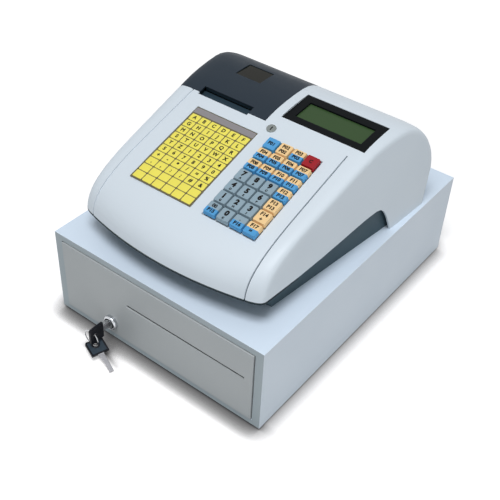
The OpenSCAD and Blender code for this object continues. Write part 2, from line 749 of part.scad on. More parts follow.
// A level block over the window's place, larger by grow all round
module window_box(grow, z0, z1) translate([window_x, window_y, 0])
    box(-window_w / 2 - grow, window_w / 2 + grow, -window_d / 2 - grow, window_d / 2 + grow, z0, z1);

cover_half = concat([[0, -cover_x1]],
    [for (s = fine_half) if (s[0] == 1 || s[1] > 10 && !in_groove(s)) s]);

module printer_cover() color(cover_slate) place() {
    difference() {
        union() {
            shell_sheet(cover_half, -1, cover_t, first_cover, last_cover);
            window_box(2, top_z + shell_h - window_sink - window_t - 0.5, top_z + shell_h - cover_t + 0.5);
        }
        cover_cutouts();
    }
    for (x = lug_x) {
        rod_x(x, x + lug_w, hinge_y, hinge_z, lug_r);
        rod_x(x + lug_w - eps, x + 2 * lug_w, hinge_y, hinge_z, hinge_pin_r);
    }
}

module cover_window() color("#4a3a2a") place()
    window_box(0, top_z + shell_h - window_sink - window_t, top_z + shell_h - window_sink);

module paper_roll() color("#f4f2ec") place() difference() {
    rod_x(roll_x - roll_l / 2, roll_x + roll_l / 2, roll_y, roll_z, roll_r);
    rod_x(roll_x - roll_l, roll_x + roll_l, roll_y, roll_z, 6);
}

module printer_frame() color("#24272b") place() {
    cradle_x = roll_l / 2 + gap;
    difference() {
        union() {
            box(mech_x0, mech_x1, -2, 100, top_z + frame_h, top_z + frame_h + 3);
            rod_x(roll_x - cradle_x - cradle_t, roll_x + cradle_x + cradle_t, roll_y, roll_z,
                roll_r + gap + cradle_t);
            box(roll_x - cradle_x - cradle_t, roll_x + cradle_x + cradle_t, roll_y - 14, roll_y + 14,
                top_z + frame_h + 2, top_z + frame_h + 16);
        }
        rod_x(roll_x - cradle_x, roll_x + cradle_x, roll_y, roll_z, roll_r + gap);
        box(-200, 0, roll_y - 50, roll_y + 50, roll_z + 2, roll_z + 60);
    }
    difference() {
        union() {
            box(mech_x0, mech_x0 + cheek_t, -2, 24, top_z + frame_h + 2, cheek_top);
            box(mech_x1 - cheek_t, mech_x1, -2, 24, top_z + frame_h + 2, cheek_top);
            box(mech_x0, mech_x1, 5, 23, top_z + frame_h + 2, platen_z - platen_r - 1.5);
            // floor of the chute below the paper exit
            on_slope(mech_x0, (cover_front_y - slope_y0) / cos(slope) - 1, -chute_depth - 2)
                cube([mech_x1 - mech_x0, 12, 2]);
        }
        rod_x(mech_x0 - 1, mech_x1 + 1, platen_y, platen_z, journal_r + fit);
    }
}

module platen_roller() color("#1b1c1e") place() {
    rod_x(mech_x0 + cheek_t + gap, mech_x1 - cheek_t - gap, platen_y, platen_z, platen_r);
    rod_x(mech_x0, mech_x1, platen_y, platen_z, journal_r);
}

// ---- Displays ----

bezel_t = 9;
bezel_sink = 0.4;
lens_plate = 2.5;
lcd_edge = [14, 12];
rear_t = 8;
rear_edge = [8, 6];

module display_bezel() color("#141517") place() on_bezel(-bezel_t - bezel_sink) difference() {
    linear_extrude(bezel_t) square([bezel_w, bezel_d], center = true);
    translate([0, 0, -1]) linear_extrude(bezel_t - lens_plate + 1)
        square([lcd_w, lcd_d] + lcd_edge, center = true);
    linear_extrude(bezel_t + 1) square([lcd_w, lcd_d], center = true);
}

module lcd_panel() color("#466a35") place() on_bezel(-bezel_sink - lens_plate - 4) linear_extrude(4)
    square([lcd_w - 2 * gap, lcd_d - 2 * gap] + lcd_edge, center = true);

module rear_display() color("#15181c") place() on_rear(-rear_t) {
    linear_extrude(rear_t - 2) square([rear_lens_w, rear_lens_h], center = true);
    translate([0, 0, -6]) linear_extrude(6 + eps)
        square([rear_lens_w - 2 * gap, rear_lens_h - 2 * gap] - rear_edge, center = true);
}

// ---- Keyboards ----

label_rows = 10;
label_cols = 6;
strip_l = 10;
label_pitch_x = (flat_w - 3) / label_cols;
label_pitch_s = (keyboard_l - strip_l - 3) / label_rows;

module flat_keyboard() color("#5b5535") place() on_slope(flat_x, 0, -1.5) cube([flat_w, keyboard_l, 1.2]);

module flat_key_labels() color("#f5e35c") place()
    for (r = [0:label_rows - 1]) for (c = [0:label_cols - 1])
        on_slope(flat_x + 1.5 + (c + 0.07) * label_pitch_x, 1.5 + (r + 0.07) * label_pitch_s, -0.3)
            cube([0.86 * label_pitch_x, 0.86 * label_pitch_s, 0.4]);

module main_board() color("#2f6b46") place()
    on_slope(flat_x, -1, board_top - board_t) cube([keys_x + keys_w - flat_x + 2, keyboard_l + 2, board_t]);

// A keycap: a rounded, tapered hull that is hollow below, with a round stem
module keycap(r, c, cap_color) color(cap_color) place() on_slope(key_x(c), key_s(r), 0) {
    difference() {
        hull() {
            translate([0, 0, cap_skirt]) rounded_plate(cap_foot, 1.2, 1);
            translate([0, 0.4, cap_rise - 0.6]) rounded_plate(cap_top, 2, 0.6);
        }
        translate([-cap_top / 2 + 1, -cap_top / 2 + 1, cap_skirt - 1])
            cube([cap_top - 2, cap_top - 2, cap_rise - cap_skirt - 1]);
    }
    stem_z = board_top + key_travel + 0.8;
    translate([0, 0, stem_z]) cylinder(r = stem_r, h = cap_rise - 1.2 - stem_z);
}

module rounded_plate(side, r, t) {
    for (x = [-1, 1]) for (y = [-1, 1])
        translate([x * (side / 2 - r), y * (side / 2 - r), 0]) cylinder(r = r, h = t, $fn = 20);
}

beige = "#f6cf98";
blue = "#4fa3dd";
grey = "#8f9aa3";
red = "#cf2a3c";
cap_colors = [
    [blue, beige, beige, red],
    [beige, beige, beige, beige],
    [beige, beige, beige, beige],
    [grey, grey, grey, beige],
    [grey, grey, grey, beige],
    [grey, grey, grey, beige],
    [grey, grey, grey, beige]];

// Disc of the mode lock, with its key slot
module mode_lock() color(steel) place() on_slope(mode_x, mode_s, 0) difference() {
    translate([0, 0, -9]) cylinder(r = mode_r, h = 10);
    translate([-0.8, -3, -3]) cube([1.6, 6, 6]);
}

module power_inlet() color("#1a1b1d") place() inlet_at() {
    inlet_shell();
    for (x = [-7, 0, 7]) translate([x - 1, -14 - eps, x == 0 ? 1 : -5]) cube([2, 11, 4]);
}

module inlet_shell() difference() {
    union() {
        translate([-inlet_w / 2, -18, -inlet_h / 2]) cube([inlet_w, 19, inlet_h]);
        translate([-inlet_w / 2 - 3, 0, -inlet_h / 2 - 3]) cube([inlet_w + 6, 1.5, inlet_h + 6]);
    }
    translate([-inlet_w / 2 + 2, -14, -inlet_h / 2 + 2]) cube([inlet_w - 4, 20, inlet_h - 4]);
}

drawer_housing();
rubber_feet();
drawer_tub();
drawer_front();
till_insert();
coin_cups();
bill_clip_1();
bill_clip_2();
bill_clip_3();
bill_clip_4();
latch_solenoid();
lock_barrel();
lock_plug();
drawer_key();
key_ring();
spare_key();
bottom_case();
top_case();
printer_cover();
cover_window();
paper_roll();
printer_frame();
platen_roller();
display_bezel();
lcd_panel();
rear_display();
flat_keyboard();
flat_key_labels();
main_board();
mode_lock();
power_inlet();
case_screws();
for (r = [1:key_rows]) for (c = [1:key_cols])
    keycap(r, c, cap_colors[r - 1][c - 1]);
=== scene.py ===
"""Looks of a cash register on a cash drawer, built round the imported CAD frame."""

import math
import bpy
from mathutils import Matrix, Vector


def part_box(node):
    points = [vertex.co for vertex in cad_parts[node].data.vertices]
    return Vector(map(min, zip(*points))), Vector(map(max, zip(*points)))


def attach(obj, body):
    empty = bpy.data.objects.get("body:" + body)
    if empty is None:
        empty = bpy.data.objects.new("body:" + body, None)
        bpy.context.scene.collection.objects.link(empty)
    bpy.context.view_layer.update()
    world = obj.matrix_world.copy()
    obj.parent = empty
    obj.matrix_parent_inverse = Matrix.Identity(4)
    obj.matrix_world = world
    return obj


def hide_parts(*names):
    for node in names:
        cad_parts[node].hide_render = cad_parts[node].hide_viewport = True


bl_info = {
    "name": "Cash register looks",
    "version": (1, 0, 0),
    "blender": (4, 5, 0),
    "location": "View3D > Sidebar > Register",
    "description": "Dresses the cash register, its keyboards, display, printer and drawer",
    "category": "Object",
}

import bpy
import bmesh
from bpy.props import FloatProperty, FloatVectorProperty, PointerProperty
from bpy.types import Operator, Panel, PropertyGroup
from mathutils import Matrix, Vector

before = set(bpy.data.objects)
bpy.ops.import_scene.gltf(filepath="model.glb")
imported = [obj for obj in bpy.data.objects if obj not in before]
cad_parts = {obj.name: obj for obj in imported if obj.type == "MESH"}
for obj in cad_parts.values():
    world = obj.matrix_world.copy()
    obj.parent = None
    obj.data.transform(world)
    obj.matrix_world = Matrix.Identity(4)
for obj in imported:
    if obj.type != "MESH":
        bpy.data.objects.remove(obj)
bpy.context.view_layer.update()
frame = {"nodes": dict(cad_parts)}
MM = 0.001

# Places and sizes that follow the CAD nodes, in millimetres unless a line says otherwise

# Drawer: the housing's top, the front panel and the part of its face that holds the media slot
DRAWER_TOP = 130.0
PANEL_FRONT, PANEL_MIDDLE_Z = -195.62, 66.5
SLOT_ZONE = 60.0, 90.0

# Lock: its axis, its collar, the length of a key's bow and how the hanging key is turned, in radians
LOCK_X, LOCK_Z = -71.5, 32.0
COLLAR_RADIUS, COLLAR_LENGTH = 10.5, 7.5
BOW_LENGTH = 22.0
SPARE_YAW, SPARE_PITCH = math.radians(-107.2), math.radians(-15.4)

# Shell: the two long seams, the right one's floor drawn in painted shade, how low they reach, and the top of
# the rim that the lower case's lip fills
SEAM_X, SEAM_HALF_WIDTH, SEAM_LOW = 117.0, 0.55, 166.0
RIM_Z, RIM_BACK = 168.5, -100.0

# Keyboard slope: a point on its lower edge and its angle in radians, then the raised keys and the flat sheet
SLOPE_START = Vector((0.0, -131.12, 215.255)) * MM
SLOPE_ANGLE = math.radians(16.9)
KEY_PITCH, KEYS_LEFT = 19.0, 21.0
KEY_ROWS, KEY_COLUMNS = 7, 4
SHEET_LEFT, SHEET_WIDTH, SHEET_LENGTH = -92.0, 95.0, 132.0
SHEET_EDGE, LABEL_STRIP = 1.5, 10.0
LABEL_ROWS, LABEL_COLUMNS = 10, 6
LABEL_PITCH_X = (SHEET_WIDTH - 2 * SHEET_EDGE) / LABEL_COLUMNS
LABEL_PITCH_S = (SHEET_LENGTH - LABEL_STRIP - 2 * SHEET_EDGE) / LABEL_ROWS

# Sizes of what is shaped here, in millimetres

# Front panel: how far its face stands proud, the scale at which it is trimmed, and the media slot's rise and
# rolled lip
PANEL_PROUD, PANEL_TRIM = 1.5, (0.9965, 1.0, 0.99)
SLOT_RISE, SLOT_LIP = 1.6, 1.9

# Lock's collar; keys' bows and blades; lower case's lip and window's lift; bar at the paper exit
COLLAR_SHOULDER, COLLAR_SINK, COLLAR_RING = 2.6, 0.6, 0.9
BOW_RIM, BOW_SINK, BLADE_SLIMMING = 1.5, 0.7, 0.25
LIP_HEIGHT, WINDOW_LIFT = 3.0, 1.5
TEAR_BAR, TEAR_BAR_PLACE = (78.6, 0.8, 5.2), (-67.5, 166.2, -5.0)

# Flat keys: a pad's corners, height, sloped edge, crown and sinking, and its shares of the pitches; then the
# drop, the side margins and the trim of the strip above them
PAD_CORNER, PAD_HEIGHT, PAD_SLOPE, PAD_CROWN, PAD_SINK = 1.2, 0.25, 0.5, 0.12, 0.28
PAD_SHARE = 0.91, 0.9
STRIP_DROP, STRIP_SIDE, STRIP_TRIM = 0.6, 0.8, 1.0

# Printed signs: the flat keys' height, weight and height above the slope, and the thickness of all ink
FLAT_SIGN, FLAT_SIGN_WEIGHT, FLAT_SIGN_OUT, INK = 7.4, 0.045, 0.09, 0.04

# Keycap: widths of foot and head, height, and levels of its middle and its legends above the slope; the shift
# of its head up the slope and the line where its colours meet; wall, hollow, corners, rim and dish
CAP_FOOT, CAP_HEAD, CAP_HEIGHT, CAP_MIDDLE, CAP_TOP = 18.0, 16.2, 5.3, 1.95, 4.56
CAP_SHIFT, CAP_SPLIT = 0.4, 0.3
CAP_WALL, CAP_HOLLOW, CAP_CORNER, CAP_RIM, CAP_DISH = 1.2, 3.4, 1.3, 1.0, 0.18

# Legends: heights and places up the cap of the upper and the lower sign, and the weight of the strokes
DIGIT_LEGEND = (9.6, 4.0), (2.3, -4.9), 0.065
WORD_LEGEND = (6.6, 6.6), (4.0, -3.4), 0.045


def linear(hex_colour):
    """Linear RGB of an sRGB hex colour such as #dde2e8."""
    parts = [int(hex_colour[i:i + 2], 16) / 255 for i in (1, 3, 5)]
    return tuple(c / 12.92 if c <= 0.04045 else ((c + 0.055) / 1.055) ** 2.4 for c in parts)


# ---------------------------------------------------------------- settings


def size(label, text, default_mm):
    """A length setting, given in millimetres."""
    return FloatProperty(name=label, description=text, default=default_mm * MM, min=0.0,
                         unit="LENGTH", subtype="DISTANCE", precision=4)


def colour(label, text, hex_default):
    """A colour setting, given as an sRGB hex value."""
    return FloatVectorProperty(name=label, description=text, default=linear(hex_default),
                               subtype="COLOR", min=0.0, max=1.0, size=3)


class DrawerSettings(PropertyGroup):
    coat: colour("Coat", "Powder coat of the housing", "#d6dde4")
    # the top is drawn lighter and bluer than the coat as painted light; the panel and the frame round it are
    # drawn darker as painted shade on the front, the panel's less blue tint being its own
    top: colour("Top", "Powder coat of the housing's top", "#dde8f4")
    panel: colour("Panel", "Powder coat of the drawer's front", "#b4b6b5")
    frame: colour("Frame", "Powder coat round the front panel", "#a7b0b3")
    fold_radius: size("Fold radius", "Radius of the folded sheet edges", 0.9)
    till: colour("Till", "Moulded till tray", "#2c2f33")


class ShellSettings(PropertyGroup):
    shell: colour("Shell", "Moulded upper shell", "#d5dbe0")
    base: colour("Base", "Moulded lower case", "#44555d")
    cover: colour("Cover", "Moulded printer cover", "#29323b")
    # painted shade in the floor of the right long seam, whose shaded wall faces the camera
    gap: colour("Parting gap", "Shaded floor of the two long seams", "#46525b")
    edge_radius: size("Edge radius", "Radius of the moulded edges", 0.5)


class KeyboardSettings(PropertyGroup):
    yellow: colour("Yellow", "Flat keys", "#efdf55")
    sheet: colour("Sheet", "Sheet round the flat keys", "#5c5330")
    strip: colour("Strip", "Strip above the flat keys", "#857f80")
    blue: colour("Blue", "Blue label of the raised keys", "#529bce")
    beige: colour("Beige", "Beige label of the raised keys", "#f3cb92")
    grey: colour("Grey", "Grey number keys", "#8fa2ac")
    red: colour("Red", "Red key", "#9c1620")
    ink: colour("Ink", "Printed legends", "#14110f")


class DisplaySettings(PropertyGroup):
    bezel: colour("Bezel", "Display bezel", "#0e1113")
    glass: colour("Display", "Display glass when off", "#3a5030")


class StageSettings(PropertyGroup):
    azimuth: FloatProperty(name="Azimuth", description="Camera's turn round the object",
                           default=math.radians(35.806), subtype="ANGLE", unit="ROTATION")
    elevation: FloatProperty(name="Elevation", description="Camera's height as an angle",
                             default=math.radians(40.110), subtype="ANGLE", unit="ROTATION")
    roll: FloatProperty(name="Roll", description="Camera's turn about its own axis",
                        default=math.radians(3.034), subtype="ANGLE", unit="ROTATION")
    distance: size("Distance", "Camera's distance from its target", 1238.26)
    lens: FloatProperty(name="Lens", description="Focal length in millimetres", default=63.524, min=10.0)


# ---------------------------------------------------------------- materials


def add_node(tree, kind, inputs=None, **settings):
    """Adds a node with its settings and inputs; an input is a value or another node's output."""
    node = tree.nodes.new(kind)
    for key, value in settings.items():
        setattr(node, key, value)
    for name, value in (inputs or {}).items():
        if isinstance(value, bpy.types.NodeSocket):
            tree.links.new(value, node.inputs[name])
        else:
            node.inputs[name].default_value = value
    return node


def start_material(name, base, roughness, metallic=0.0, **shader):
    """A new material with its Principled shader set, and the object coordinates in metres."""
    material = bpy.data.materials.new(name)
    material.use_nodes = True
    tree = material.node_tree
    tree.nodes.clear()
    values = {"Base Color": (*base, 1.0), "Roughness": roughness, "Metallic": metallic}
    values.update(shader)
    surface = add_node(tree, "ShaderNodeBsdfPrincipled", values)
    add_node(tree, "ShaderNodeOutputMaterial", {"Surface": surface.outputs["BSDF"]})
    place = add_node(tree, "ShaderNodeTexCoord")
    return material, tree, surface, place.outputs["Object"]


def grain_bump(tree, surface, place, grain_mm, height_mm, strength=1.0, detail=3.0, stretch=None):
    """A noise of one grain size that lifts the surface by up to height_mm."""
    vector = place
    if stretch:
        vector = add_node(tree, "ShaderNodeMapping", {"Vector": place, "Scale": stretch}).outputs["Vector"]
    noise = add_node(tree, "ShaderNodeTexNoise", {"Vector": vector, "Scale": 1000 / grain_mm,
                                                  "Detail": detail})
    bump = add_node(tree, "ShaderNodeBump", {"Height": noise.outputs["Fac"], "Distance": height_mm * MM,
                                             "Strength": strength})
    tree.links.new(bump.outputs["Normal"], surface.inputs["Normal"])


def vary_roughness(tree, surface, place, patch_mm, low, high):
    """Roughness that wanders between two values over patches of a given size, as handling leaves it."""
    noise = add_node(tree, "ShaderNodeTexNoise", {"Vector": place, "Scale": 1000 / patch_mm, "Detail": 4.0})
    spread = add_node(tree, "ShaderNodeMapRange", {"Value": noise.outputs["Fac"], "From Min": 0.3,
                                                   "From Max": 0.7, "To Min": low, "To Max": high})
    tree.links.new(spread.outputs["Result"], surface.inputs["Roughness"])


def vary_colour(tree, surface, place, patch_mm, first, second):
    """Base colour that drifts between two near shades."""
    noise = add_node(tree, "ShaderNodeTexNoise", {"Vector": place, "Scale": 1000 / patch_mm, "Detail": 2.0})
    mix = add_node(tree, "ShaderNodeMix", {"Factor": noise.outputs["Fac"], 6: (*first, 1.0),
                                           7: (*second, 1.0)}, data_type="RGBA")
    tree.links.new(mix.outputs[2], surface.inputs["Base Color"])


def shade(rgb, factor):
    """A lighter or darker shade of a colour."""
    return tuple(min(1.0, c * factor) for c in rgb)


def abs_textured(name, rgb, grain_mm=0.9, height_mm=0.03, rough=(0.42, 0.52), gloss=0.5):
    """ABS moulded in a spark-eroded tool: an even satin skin with a fine leathery grain."""
    # the real grain of about 0.2 mm is too fine to show, so it is drawn coarser
    material, tree, surface, place = start_material(name, rgb, rough[0], **{
        "IOR": 1.53, "Specular IOR Level": gloss})
    vary_roughness(tree, surface, place, 35.0, *rough)
    vary_colour(tree, surface, place, 90.0, shade(rgb, 0.985), shade(rgb, 1.01))
    grain_bump(tree, surface, place, grain_mm, height_mm, 0.5)
    return material


def polished_plastic(name, rgb, rough=0.18, **shader):
    """ABS or acrylic from a polished tool: glossy, with the faint waviness of a moulded face."""
    material, tree, surface, place = start_material(name, rgb, rough, **{"IOR": 1.5, **shader})
    grain_bump(tree, surface, place, 12.0, 0.02, 0.4, 1.0)
    vary_roughness(tree, surface, place, 20.0, rough * 0.9, rough * 1.3)
    return material


def powder_coat(name, rgb):
    """Polyester powder coat baked on steel: low gloss with a fine orange peel about 2 mm across."""
    material, tree, surface, place = start_material(name, rgb, 0.45, **{"IOR": 1.5})
    vary_roughness(tree, surface, place, 60.0, 0.4, 0.52)
    vary_colour(tree, surface, place, 140.0, shade(rgb, 0.985), shade(rgb, 1.012))
    grain_bump(tree, surface, place, 2.2, 0.03, 0.5, 2.0)
    return material


def plated_steel(name, rgb, rough=0.28):
    """Plated sheet steel: grey metal with faint rolling lines along the sheet."""
    material, tree, surface, place = start_material(name, rgb, rough, 1.0)
    grain_bump(tree, surface, place, 0.8, 0.01, 0.5, 3.0, (1.0, 0.06, 1.0))
    vary_roughness(tree, surface, place, 25.0, rough * 0.8, rough * 1.3)
    return material


def chrome_plate(name):
    """Polished chrome over brass: a near mirror with the slight ripple of buffing."""
    material, tree, surface, place = start_material(name, linear("#c9ccd0"), 0.09, 1.0)
    grain_bump(tree, surface, place, 5.0, 0.01, 0.4, 1.0)
    vary_roughness(tree, surface, place, 8.0, 0.06, 0.14)
    return material


def rubber(name, rgb):
    """Moulded rubber: dull black with a fine dusty bloom."""
    material, tree, surface, place = start_material(name, rgb, 0.85, **{"IOR": 1.52})
    grain_bump(tree, surface, place, 0.6, 0.03, 0.6)
    vary_colour(tree, surface, place, 15.0, rgb, shade(rgb, 1.5))
    return material


def thermal_paper(name):
    """Thermal paper wound tight: smooth and white, with the edges of its turns as fine rings."""
    material, tree, surface, place = start_material(name, linear("#f1efe8"), 0.6, **{"IOR": 1.45})
    low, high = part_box("paper_roll")
    centre = (Vector(low) + Vector(high)) / 2
    centred = add_node(tree, "ShaderNodeMapping", {"Vector": place, "Location": -centre}).outputs["Vector"]
    # turns of 0.07 mm paper are too fine to show, so the rings are drawn 1.6 mm apart; a wave of scale 1 has
    # a ring every pi / 10 metres
    rings = add_node(tree, "ShaderNodeTexWave", {
        "Vector": centred, "Scale": math.pi / 10 / (1.6 * MM), "Distortion": 0.4, "Detail": 1.0},
        wave_type="RINGS", rings_direction="X")
    bump = add_node(tree, "ShaderNodeBump", {"Height": rings.outputs["Fac"], "Distance": 0.02 * MM,
                                             "Strength": 0.4})
    tree.links.new(bump.outputs["Normal"], surface.inputs["Normal"])
    return material


def smoked_acrylic(name):
    """Extruded smoked acrylic: a brown clear sheet that shows what lies close behind it."""
    material, tree, surface, place = start_material(name, linear("#17170f"), 0.12, **{
        "IOR": 1.49, "Transmission Weight": 0.08, "Specular IOR Level": 0.08})
    grain_bump(tree, surface, place, 10.0, 0.01, 0.3, 1.0)
    vary_roughness(tree, surface, place, 12.0, 0.08, 0.16)
    return material


def lcd_glass(name, rgb):
    """A reflective liquid-crystal display behind float glass: mossy green with a faint dot pitch."""
    # the real dots of 0.6 mm are too fine to show, so they are drawn 1.2 mm apart
    material, tree, surface, place = start_material(name, rgb, 0.22, **{
        "IOR": 1.52, "Specular IOR Level": 0.08})
    dots = add_node(tree, "ShaderNodeTexVoronoi", {"Vector": place, "Scale": 1000 / 1.2, "Randomness": 0.0},
                    voronoi_dimensions="2D")
    mix = add_node(tree, "ShaderNodeMix", {"Factor": dots.outputs["Distance"], 6: (*shade(rgb, 1.06), 1.0),
                                           7: (*shade(rgb, 0.9), 1.0)}, data_type="RGBA")
    tree.links.new(mix.outputs[2], surface.inputs["Base Color"])
    return material


def printed_film(name, rgb, gloss=0.5):
    """Ink under a clear polyester film: flat colour with a soft sheen and slight emboss ripple."""
    material, tree, surface, place = start_material(name, rgb, 0.38, **{
        "IOR": 1.57, "Specular IOR Level": gloss})
    vary_colour(tree, surface, place, 30.0, shade(rgb, 0.97), shade(rgb, 1.02))
    vary_roughness(tree, surface, place, 9.0, 0.32, 0.46)
    grain_bump(tree, surface, place, 3.0, 0.015, 0.4, 2.0)
    return material


def board_mask(name):
    """Green solder mask over a glass-fibre board: glossy, with the weave just showing."""
    material, tree, surface, place = start_material(name, linear("#1f5a38"), 0.3, **{"IOR": 1.5})
    grain_bump(tree, surface, place, 0.7, 0.02, 0.4, 2.0)
    vary_colour(tree, surface, place, 6.0, linear("#1f5a38"), linear("#276a42"))
    return material


# ---------------------------------------------------------------- shaping helpers


def deselect():
    bpy.ops.object.select_all(action="DESELECT")


def make_active(obj):
    deselect()
    obj.select_set(True)
    bpy.context.view_layer.objects.active = obj


def edit(obj, kind="FACE"):
    """Opens an object in edit mode with nothing selected."""
    make_active(obj)
    bpy.ops.object.mode_set(mode="EDIT")
    bpy.ops.mesh.select_mode(type=kind)
    bpy.ops.mesh.select_all(action="DESELECT")


def choose_faces(obj, test):
    """Selects the faces for which test(centre, normal) holds; the object is in edit mode."""
    mesh = bmesh.from_edit_mesh(obj.data)
    for face in mesh.faces:
        face.select_set(bool(test(face.calc_center_median(), face.normal)))
    bmesh.update_edit_mesh(obj.data)


def choose_vertices(obj, test):
    """Selects the vertices for which test(place) holds; the object is in edit mode."""
    mesh = bmesh.from_edit_mesh(obj.data)
    mesh.select_mode = {"VERT"}
    for vertex in mesh.verts:
        vertex.select_set(bool(test(vertex.co)))
    mesh.select_flush_mode()
    bmesh.update_edit_mesh(obj.data)


def choose_edges(obj, test):
    """Selects the edges for which test(first end, second end) holds; the object is in edit mode."""
    mesh = bmesh.from_edit_mesh(obj.data)
    mesh.select_mode = {"EDGE"}
    for edge in mesh.edges:
        edge.select_set(bool(test(edge.verts[0].co, edge.verts[1].co)))
    mesh.select_flush_mode()
    bmesh.update_edit_mesh(obj.data)


def leave_edit():
    bpy.ops.object.mode_set(mode="OBJECT")


def use_modifier(obj, kind, **settings):
    """Adds a modifier and applies it."""
    make_active(obj)
    modifier = obj.modifiers.new(kind.title(), kind)
    for key, value in settings.items():
        setattr(modifier, key, value)
    bpy.ops.object.modifier_apply(modifier=modifier.name)


def bake_place(obj, matrix=None):
    """Moves the mesh to its place and leaves the object at the origin, unturned and unscaled."""
    if matrix is not None:
        obj.matrix_world = matrix @ obj.matrix_world
    make_active(obj)
    bpy.ops.object.transform_apply(location=True, rotation=True, scale=True)


def paint(obj, *materials):
    obj.data.materials.clear()
    for material in materials:
        obj.data.materials.append(material)


def smooth(obj, angle=35.0, weighted=True):
    """Smooth shading up to an angle in degrees, with the large faces kept flat if weighted."""
    make_active(obj)
    bpy.ops.object.shade_smooth_by_angle(angle=math.radians(angle))
    if weighted:
        use_modifier(obj, "WEIGHTED_NORMAL", keep_sharp=True)


def solid_copy(node, name):
    """A copy of a CAD node with its loose triangles merged into a closed skin."""
    source = frame["nodes"][node]
    obj = source.copy()
    obj.data = source.data.copy()
    obj.parent = None
    obj.matrix_world = Matrix()
    obj.name = name
    bpy.context.scene.collection.objects.link(obj)
    edit(obj, "VERT")
    bpy.ops.mesh.select_all(action="SELECT")
    bpy.ops.mesh.remove_doubles(threshold=1e-6)
    bpy.ops.mesh.dissolve_limited(angle_limit=math.radians(0.4))
    leave_edit()
    return obj


def ease(obj, width, segments=2, angle=40.0):
    """Rounds the edges that are sharper than an angle in degrees; the width is in metres."""
    use_modifier(obj, "BEVEL", width=width, segments=segments, limit_method="ANGLE",
                 angle_limit=math.radians(angle))


def dress(node, body, material, edge=0.3 * MM, segments=2, angle=40.0):
    """A CAD node's closed copy with eased edges, its finish and its body."""
    obj = solid_copy(node, node + "_skin")
    if edge:
        ease(obj, edge, segments, angle)
    smooth(obj)
    paint(obj, material)
    hand_over(obj, body, node)
    return obj


def hand_over(obj, body, *nodes):
    """Puts a finished piece on its body in place of the CAD nodes it stands for."""
    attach(obj, body)
    if nodes:
        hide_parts(*nodes)


def on_slope(x, s, out=0.0):
    """Matrix of a place on the keyboard slope, in millimetres: x across, s up the slope, out from it."""
    return (Matrix.Translation(SLOPE_START) @ Matrix.Rotation(SLOPE_ANGLE, 4, "X")
            @ Matrix.Translation(Vector((x, s, out)) * MM))


def extrude(move):
    """Extrudes what is selected by a vector in metres."""
    bpy.ops.mesh.extrude_region_move(TRANSFORM_OT_translate={"value": move})


def lettering(text, height_mm, weight, matrix):
    """Printed lettering as a thin mesh, set in place.

    A stroke gains weight times the height at each side, and its depth is then flattened to the ink's.
    """
    deselect()
    bpy.ops.object.text_add(location=(0, 0, 0))
    obj = bpy.context.object
    obj.data.body = text
    obj.data.size = height_mm * MM
    obj.data.resolution_u = 3
    obj.data.bevel_depth = weight * height_mm * MM
    obj.data.bevel_resolution = 0
    obj.data.align_x = "CENTER"
    obj.data.align_y = "CENTER"
    bpy.ops.object.convert(target="MESH")
    obj = bpy.context.object
    bake_place(obj, matrix @ Matrix.Diagonal((1, 1, INK / (2 * weight * height_mm), 1)))
    return obj


def join(objects, name):
    """Makes one named object of several."""
    deselect()
    for obj in objects:
        obj.select_set(True)
    bpy.context.view_layer.objects.active = objects[0]
    if len(objects) > 1:
        bpy.ops.object.join()
    objects[0].name = name
    return objects[0]


# ---------------------------------------------------------------- drawer


